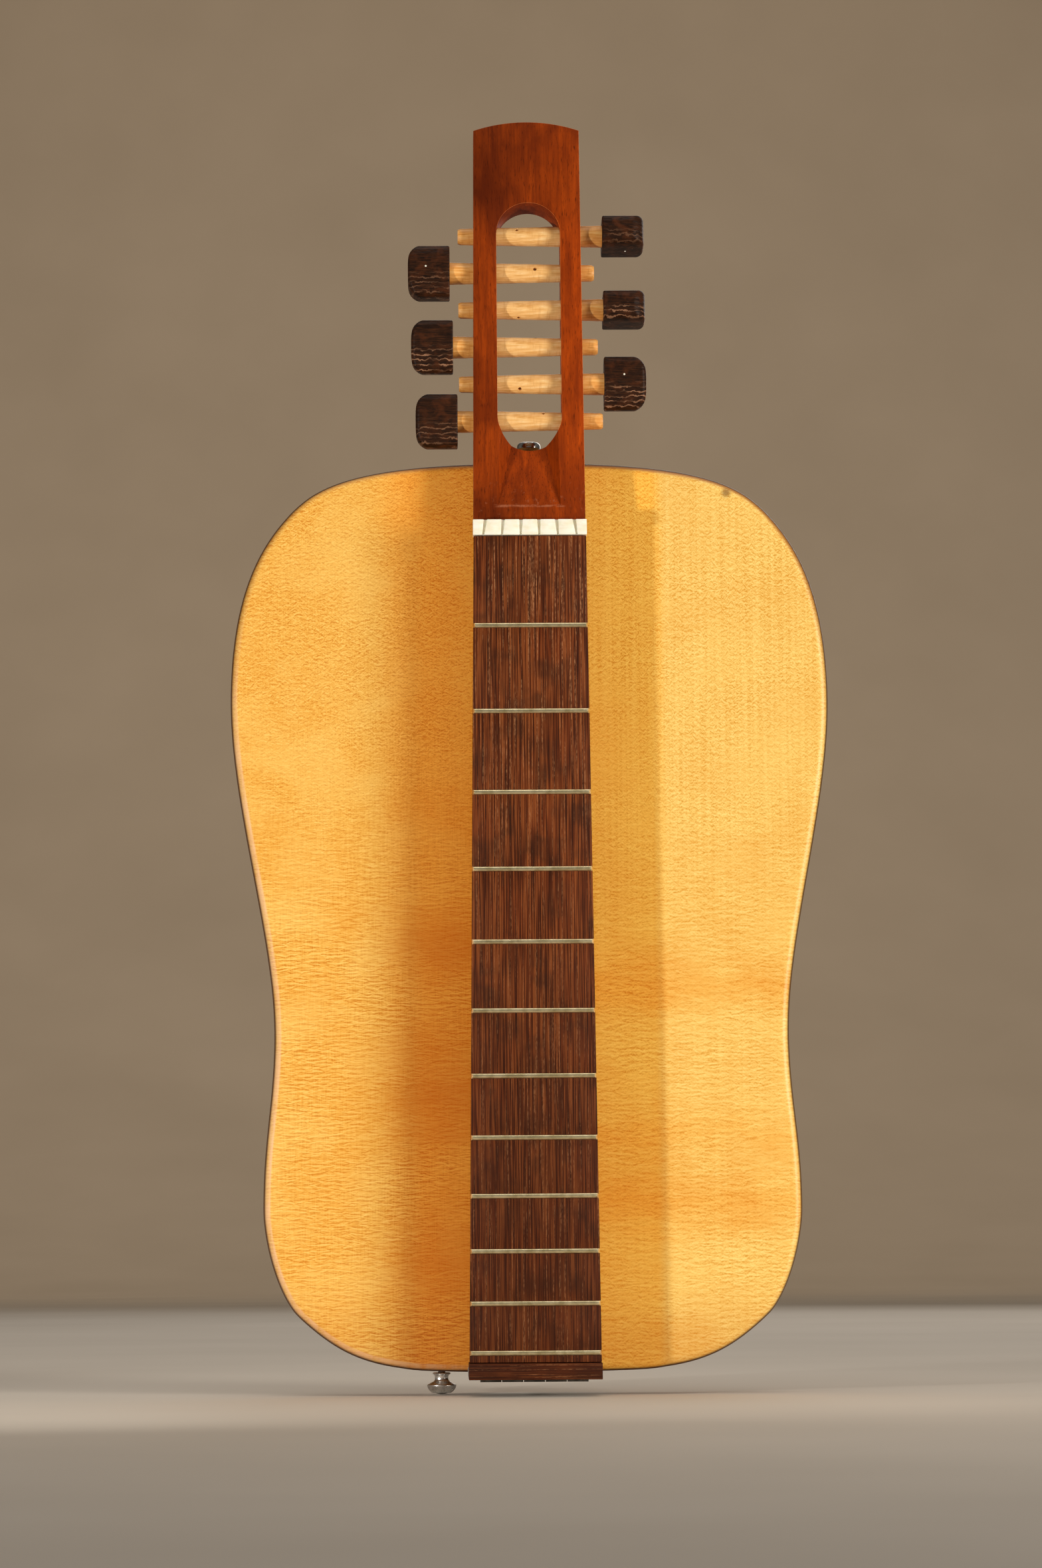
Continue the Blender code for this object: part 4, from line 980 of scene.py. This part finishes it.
def neck_ring(z, face_y, half_width, depth, squareness):
    """A section with a flat face and a back between half an ellipse and a rounded rectangle."""
    corner = BACK_CORNER
    square = [(1.0, 0.0), (1.0, 0.25), (1.0, 0.5), (1.0, 1 - corner / depth)]
    for step in range(1, 7):
        a = math.pi / 2 * step / 6
        across = 1 - corner / half_width * (1 - math.cos(a))
        square.append((across, 1 - corner / depth * (1 - math.sin(a))))
    square += [(share, 1.0) for share in (0.75, 0.6, 0.45, 0.3, 0.15, 0.0)]
    half = []
    for i, (across, down) in enumerate(square):
        angle = math.pi / 2 * i / (len(square) - 1)
        round_across = max(math.cos(angle), 0.0) ** 0.85
        round_down = math.sin(angle) ** 0.85
        x = half_width * blend(round_across, across, squareness)
        half.append((x, face_y + depth * blend(round_down, down, squareness), z))
    return half + [(-x, y, z) for x, y, z in reversed(half[:-1])]


def head_face_y(z):
    return NECK_FACE_Y + (z - HEAD_START_Z) * math.tan(HEAD_TILT)


def neck_blank(name):
    """Neck and headstock as one piece, before they are parted at the scarf joint."""
    start_z = BOARD_END_Z
    heel_depth = HEEL_Y - NECK_FACE_Y
    head_depth = HEAD_THICKNESS / math.cos(HEAD_TILT)
    rings = []
    for step in range(19):
        share = step / 18
        ease = (1 + math.cos(math.pi * share)) / 2
        z = start_z + share * HEEL_RISE
        depth = blend(NECK_DEPTH, heel_depth, ease)
        rings.append(neck_ring(z, NECK_FACE_Y, board_half_width(z), depth, 0.8 * ease))
    for step in range(1, 21):
        z = blend(start_z + HEEL_RISE, NUT_Z - 24 * MM, step / 20)
        rings.append(neck_ring(z, NECK_FACE_Y, board_half_width(z), NECK_DEPTH, 0.0))
    for step in range(1, 13):
        share = step / 12
        squareness = 0.85 * (1 - math.cos(math.pi * share)) / 2
        z = blend(NUT_Z - 24 * MM, NUT_Z, share)
        depth = blend(NECK_DEPTH, head_depth, squareness)
        rings.append(neck_ring(z, NECK_FACE_Y, board_half_width(z), depth, squareness))
    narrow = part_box("headstock")[1].x
    rings.append(neck_ring(HEAD_START_Z, NECK_FACE_Y, narrow, head_depth, 1.0))
    top_z = HEAD_START_Z + HEAD_LENGTH
    share = HEAD_LENGTH / (HEAD_LENGTH * math.cos(HEAD_TILT))
    width = blend(narrow, HEAD_HALF_WIDTH_TIP, share)
    rings.append(neck_ring(top_z, head_face_y(top_z), width, head_depth, 1.0))
    return loft(name, rings)


def scarf_cutter(side):
    """A block on one side of the scarf plane, which starts under the nut and runs down."""
    reach = 0.6
    start = -HAIRLINE / 2 if side > 0 else -reach
    end = reach if side > 0 else HAIRLINE / 2
    block = box("scarf", (-reach, -reach, start), (reach, reach, end))
    block.rotation_euler.x = -math.atan2(SCARF_RUN, NECK_DEPTH)
    block.location = (0.0, NECK_FACE_Y, (NUT_Z + HEAD_START_Z) / 2)
    bpy.context.view_layer.update()
    return block


def head_prism(name, outline, low, high):
    """Extrude an outline of (across, up) points through the headstock's depth."""
    return loft(name, [[head_point(x, depth, s) for x, s in outline] for depth in (low, high)])


def crown_cutter():
    radius = (HEAD_HALF_WIDTH_TIP**2 + CROWN_RISE**2) / (2 * CROWN_RISE)
    spread = math.asin(1.3 * HEAD_HALF_WIDTH_TIP / radius)
    outline = []
    for step in range(41):
        angle = -spread + 2 * spread * step / 40
        outline.append((radius * math.sin(angle), HEAD_LENGTH - radius * (1 - math.cos(angle))))
    outline += [(0.1, outline[-1][1]), (0.1, HEAD_LENGTH + 0.1), (-0.1, HEAD_LENGTH + 0.1)]
    outline.append((-0.1, outline[0][1]))
    return head_prism("crown", outline, -0.05, 0.08)


def slot_cutter():
    outline = []
    ends = ((SLOT_END - SLOT_HALF_WIDTH, 0.0), (SLOT_START + SLOT_HALF_WIDTH, math.pi))
    for centre, start in ends:
        for step in range(33):
            angle = start + math.pi * step / 32
            across = SLOT_OFFSET + SLOT_HALF_WIDTH * math.cos(angle)
            outline.append((across, centre + SLOT_HALF_WIDTH * math.sin(angle)))
    return head_prism("slot", outline, -0.05, 0.08)


def ramp_cutter():
    above_face = 1.0 * MM
    lid = -1.2 * above_face
    ramp_end = SLOT_START + SLOT_HALF_WIDTH
    lead_in = above_face * (ramp_end - RAMP_START) / RAMP_DEPTH
    ends = (
        (RAMP_START - lead_in, -above_face, RAMP_HALF_WIDTH, RAMP_HALF_WIDTH),
        (ramp_end, RAMP_DEPTH, SLOT_HALF_WIDTH - SLOT_OFFSET - 0.1 * MM, RAMP_FLOOR_HALF_WIDTH),
    )
    rings = []
    for height, depth, lid_half, floor_half in ends:
        corners = [(-lid_half, lid), (lid_half, lid), (floor_half, depth), (-floor_half, depth)]
        rings.append([head_point(x, d, height) for x, d in corners])
    return loft("ramp", rings)


def peg_axis_matrix(number):
    """The peg's own frame: X across the headstock, Z up along it."""
    place = Vector(JOINTS[f"peg_{number}_turn"]["pos_m"])
    return Matrix.Translation(place) @ Matrix.Rotation(-HEAD_TILT, 4, "X")


def peg_side(number):
    low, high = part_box(f"peg_{number}_head")
    return 1 if low.x + high.x > 0 else -1


def peg_ends(number):
    """How far from the centreline the head's flat face and the shaft's thin end are."""
    side = peg_side(number)
    head_low, head_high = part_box(f"peg_{number}_head")
    shaft_low, shaft_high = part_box(f"peg_{number}_shaft")
    face = head_low.x if side > 0 else -head_high.x
    thin_end = shaft_low.x if side > 0 else -shaft_high.x
    return face, thin_end


def peg_radius(number, distance):
    face, thin_end = peg_ends(number)
    return blend(PEG_RADIUS_WIDE, PEG_RADIUS_NARROW, (face - distance) / (face - thin_end))


def make_neck():
    shaft = neck_blank("neck_shaft_fine")
    cut(shaft, scarf_cutter(1))
    dress(shaft, "neck", MAHOGANY, ["neck_shaft"])

    head = neck_blank("headstock_fine")
    cut(head, scarf_cutter(-1))
    cut(head, crown_cutter())
    cut(head, slot_cutter())
    for material in (MAHOGANY, MAHOGANY_WORN):
        head.data.materials.append(material)
    round_edges(head, 0.7 * MM, 3, 50.0, 1)
    cut(head, ramp_cutter())
    reach = 27.0 * MM
    for number in range(1, 7):
        side = peg_side(number)
        rings = []
        for distance in (-reach, reach):
            radius = peg_radius(number, distance) + 0.06 * MM
            rings.append([(side * distance, y, z) for y, z in circle(radius, 40)])
        bore = loft("bore", rings)
        bore.data.transform(peg_axis_matrix(number))
        cut(head, bore)
    dress(head, "neck", [MAHOGANY, MAHOGANY_WORN], ["headstock"])

    board = softened("fingerboard", 0.25 * MM, 2, 50.0)
    dress(board, "neck", WENGE_BOARD, ["fingerboard"])
    dress(softened("nut", 0.22 * MM, 2, 45.0), "neck", BONE, ["nut"])
    for number in range(1, 13):
        make_fret(f"fret_{number:02d}")
    for body in ("neck", "body"):
        node = f"joint_plate_{body}"
        dress(softened(node, 0.35 * MM, 3, 50.0), body, WENGE_PLATE, [node])


def make_fret(node):
    """A crowned fret with its tang, its ends filed back at an angle."""
    low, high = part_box(node)
    z = (low.z + high.z) / 2
    half = (high.z - low.z) / 2
    base = BOARD_TOP_Y - HAIRLINE
    height = base - low.y
    tang_half = 0.25 * MM
    section = [(high.y, tang_half), (base, tang_half)]
    for step in range(13):
        angle = math.pi * step / 12
        section.append((base - height * math.sin(angle) ** 0.8, half * math.cos(angle)))
    section += [(base, -tang_half), (high.y, -tang_half)]
    rings = []
    for side, inner in ((-1, 0.0), (-1, 1.2), (1, 1.2), (1, 0.0)):
        ring = []
        for y, across in section:
            rise = 0.0 if inner else max(base - y, 0.0)
            droop = 0.12 * MM if rise > 0 else 0.0
            x = side * (high.x - inner * MM - 0.55 * rise)
            ring.append((x, y + droop, z + across))
        rings.append(ring)
    dress(loft(f"{node}_fine", rings), "neck", NICKEL_SILVER, [node])


# The pegs

def peg_head_shape(number, face):
    """A rounded block: flat towards the shaft, domed at its outer end, with softened edges."""
    side = peg_side(number)
    low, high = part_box(f"peg_{number}_head")
    length = high.x - low.x
    straight = length - PEG_HEAD_DOME
    soft = 1.8 * MM
    stages = [(0.0, 0.0, 0.045), (0.2 * MM, 0.0, 0.012), (0.5 * MM, 0.0, 0.0)]
    stages += [(straight * k / 6, 0.0, 0.0) for k in range(1, 5)]
    for step in range(9):
        angle = math.pi / 2 * step / 8
        stages.append((length - soft * (1 - math.sin(angle)), 1.0, 0.3 * (1 - math.cos(angle))))
    stages += [(length, 1.0, drawn_in) for drawn_in in (0.45, 0.65, 0.85)]
    rings = []
    for out, domed, drawn_in in stages:
        ring = []
        for y, z in circle(1.0, 64):
            across = math.copysign(abs(y) ** PEG_HEAD_SQUARENESS, y) * (1 - drawn_in)
            along = math.copysign(abs(z) ** PEG_HEAD_SQUARENESS, z) * (1 - drawn_in)
            x = out - domed * PEG_HEAD_DOME * abs(along) ** PEG_HEAD_DOME_POWER
            place = (across * PEG_HEAD_HALF_THICKNESS, along * PEG_HEAD_HALF_HEIGHT)
            ring.append((side * (face + x), *place))
        rings.append(ring)
    return loft(f"peg_{number}_head_fine", rings)


def make_peg(number):
    side = peg_side(number)
    face, thin_end = peg_ends(number)
    body = f"peg_{number}"
    axis = peg_axis_matrix(number)
    stations = []
    for step in range(61):
        distance = blend(thin_end, face + 1.0 * MM, step / 60)
        from_end = (distance - thin_end) / (0.5 * MM)
        chamfer = max(0.0, 1.0 - from_end) * 0.45 * MM
        whittled = math.sin(distance * 900 + number) * math.sin(distance * 333 + 2 * number)
        radius = peg_radius(number, distance) - chamfer + 0.04 * MM * whittled
        stations.append((distance, radius))
    rings = [[(side * x, y, z) for y, z in circle(r, 40)] for x, r in stations]
    shaft = loft(f"peg_{number}_shaft_fine", rings)
    hole_x, hole_turn = STRING_HOLES[number - 1]
    rim = circle(STRING_HOLE_RADIUS, 20)
    hole = loft("hole", [[(hole_x + x, y, z) for x, z in rim] for y in (-0.02, 0.02)])
    hole.data.transform(Matrix.Rotation(-math.radians(hole_turn), 4, "X"))
    cut(shaft, hole)
    shaft.matrix_world = axis
    dress(shaft, body, BOXWOOD, [f"peg_{number}_shaft"])

    turn = Matrix.Rotation(math.radians(PEG_TURNS[number - 1]), 4, "X")
    head = peg_head_shape(number, face)
    head.matrix_world = axis @ turn
    dress(head, body, wenge_head_material(number), [f"peg_{number}_head"])

    if number in PINS:
        out, up = PINS[number]
        profile = [(0.38, -0.6), (0.38, 0.0), (0.3, 0.08), (0.12, 0.12)]
        pin = turned(f"peg_{number}_pin", profile, 20)
        pin_place = Matrix.Translation((side * (face + out), -PEG_HEAD_HALF_THICKNESS, up))
        pin.matrix_world = axis @ turn @ pin_place @ Matrix.Rotation(math.pi / 2, 4, "X")
        dress(pin, body, BONE)


# Strap buttons and the hinge

def make_strap_button(label):
    """A tall narrow button at the tail, a low wide one at the heel."""
    node = f"strap_button_{label}"
    low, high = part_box(node)
    up = label == "tail"
    place = Vector(((low.x + high.x) / 2, 0.0, low.z if up else high.z))
    rotation = Matrix.Identity(4) if up else Matrix.Rotation(math.pi, 4, "X")
    profile = [(2.0, 0.0), (3.2, 0.0)]
    profile += arc((3.2, 0.4), 0.4, -90, 70, 6)
    profile += [(2.85, 1.1), (2.7, 1.7)]
    if up:
        screw_top = 10.4
        profile += [(2.7, 4.6), (2.85, 5.2), (3.3, 5.8)]
        profile += arc((4.35, 7.5), 0.45, -50, 0, 5)
        profile += arc((3.1, 8.3), 1.7, 0, 66, 8)
        profile += [(3.3, 10.0), (2.0, 8.6)]
    else:
        screw_top = 8.6
        profile += [(2.7, 2.7), (2.9, 3.2), (3.4, 3.6)]
        profile += arc((5.5, 5.15), 0.4, -60, 20, 6)
        profile += [(5.75, 5.75), (5.3, 6.65), (4.7, 7.4), (4.0, 7.95), (3.7, 8.1), (2.0, 6.6)]
    button = turned(f"{node}_fine", profile, 72, True)
    button.matrix_world = Matrix.Translation(place) @ rotation
    # the tail button gets the chrome with painted dark reflection
    chrome = CHROME if label == "heel" else SHADED_CHROME
    dress(button, "body", chrome, [node])

    screw_profile = [(0.4, -16.0), (1.4, -13.0), (1.5, screw_top - 2.0), (2.7, screw_top - 0.75)]
    screw_profile += arc((0.0, screw_top - 8.1), 8.1, 71, 89, 6)
    screw = turned(f"strap_screw_{label}_fine", screw_profile, 48)
    for turn in (0.0, math.pi / 2):
        half_depth = 1.2 * MM
        middle = screw_top * MM
        blade = box("blade", (-1.7 * MM, -0.35 * MM, middle - half_depth),
                    (1.7 * MM, 0.35 * MM, middle + half_depth))
        blade.data.transform(Matrix.Rotation(turn + 0.4, 4, "Z"))
        cut(screw, blade)
    screw.matrix_world = Matrix.Translation(place) @ rotation
    dress(screw, "body", STEEL, [f"strap_screw_{label}"])


def make_hinge():
    for body in ("body", "neck"):
        node = f"hinge_leaf_{body}"
        dress(softened(node, 0.12 * MM, 2, 60.0), body, STEEL, [node])
    low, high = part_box("hinge_pin")
    radius = (high.y - low.y) / 2
    stations = [(low.x, 0.7), (low.x + 0.15 * MM, 0.9), (low.x + 0.4 * MM, 1.0)]
    stations += [(-x, share) for x, share in reversed(stations)]
    rings = []
    for x, share in stations:
        ring = circle(radius * share, 32, (HINGE_Y, HINGE_Z))
        rings.append([(x, y, z) for y, z in ring])
    dress(loft("hinge_pin_fine", rings), "body", STEEL, ["hinge_pin"])
    for body in ("body", "neck"):
        for label in ("left", "right"):
            node = f"hinge_screw_{body}_{label}"
            low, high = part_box(node)
            profile = [(2.6, 0.1), (2.95, 0.16), (3.0, 0.25), (1.5, 1.4), (1.5, 12.0), (0.3, 14.0)]
            screw = turned(f"{node}_fine", profile, 40)
            slot = box("blade", (-4 * MM, -0.35 * MM, -2 * MM), (4 * MM, 0.35 * MM, 0.75 * MM))
            slot.data.transform(Matrix.Rotation(0.5 if label == "left" else -0.3, 4, "Z"))
            cut(screw, slot)
            screw.location = ((low.x + high.x) / 2, (low.y + high.y) / 2, low.z - 0.15 * MM)
            dress(screw, body, STEEL, [node])


make_body()
make_bridge()
make_neck()
for peg_number in range(1, 7):
    make_peg(peg_number)
for button_label in ("tail", "heel"):
    make_strap_button(button_label)
make_hinge()

bpy.context.view_layer.update()
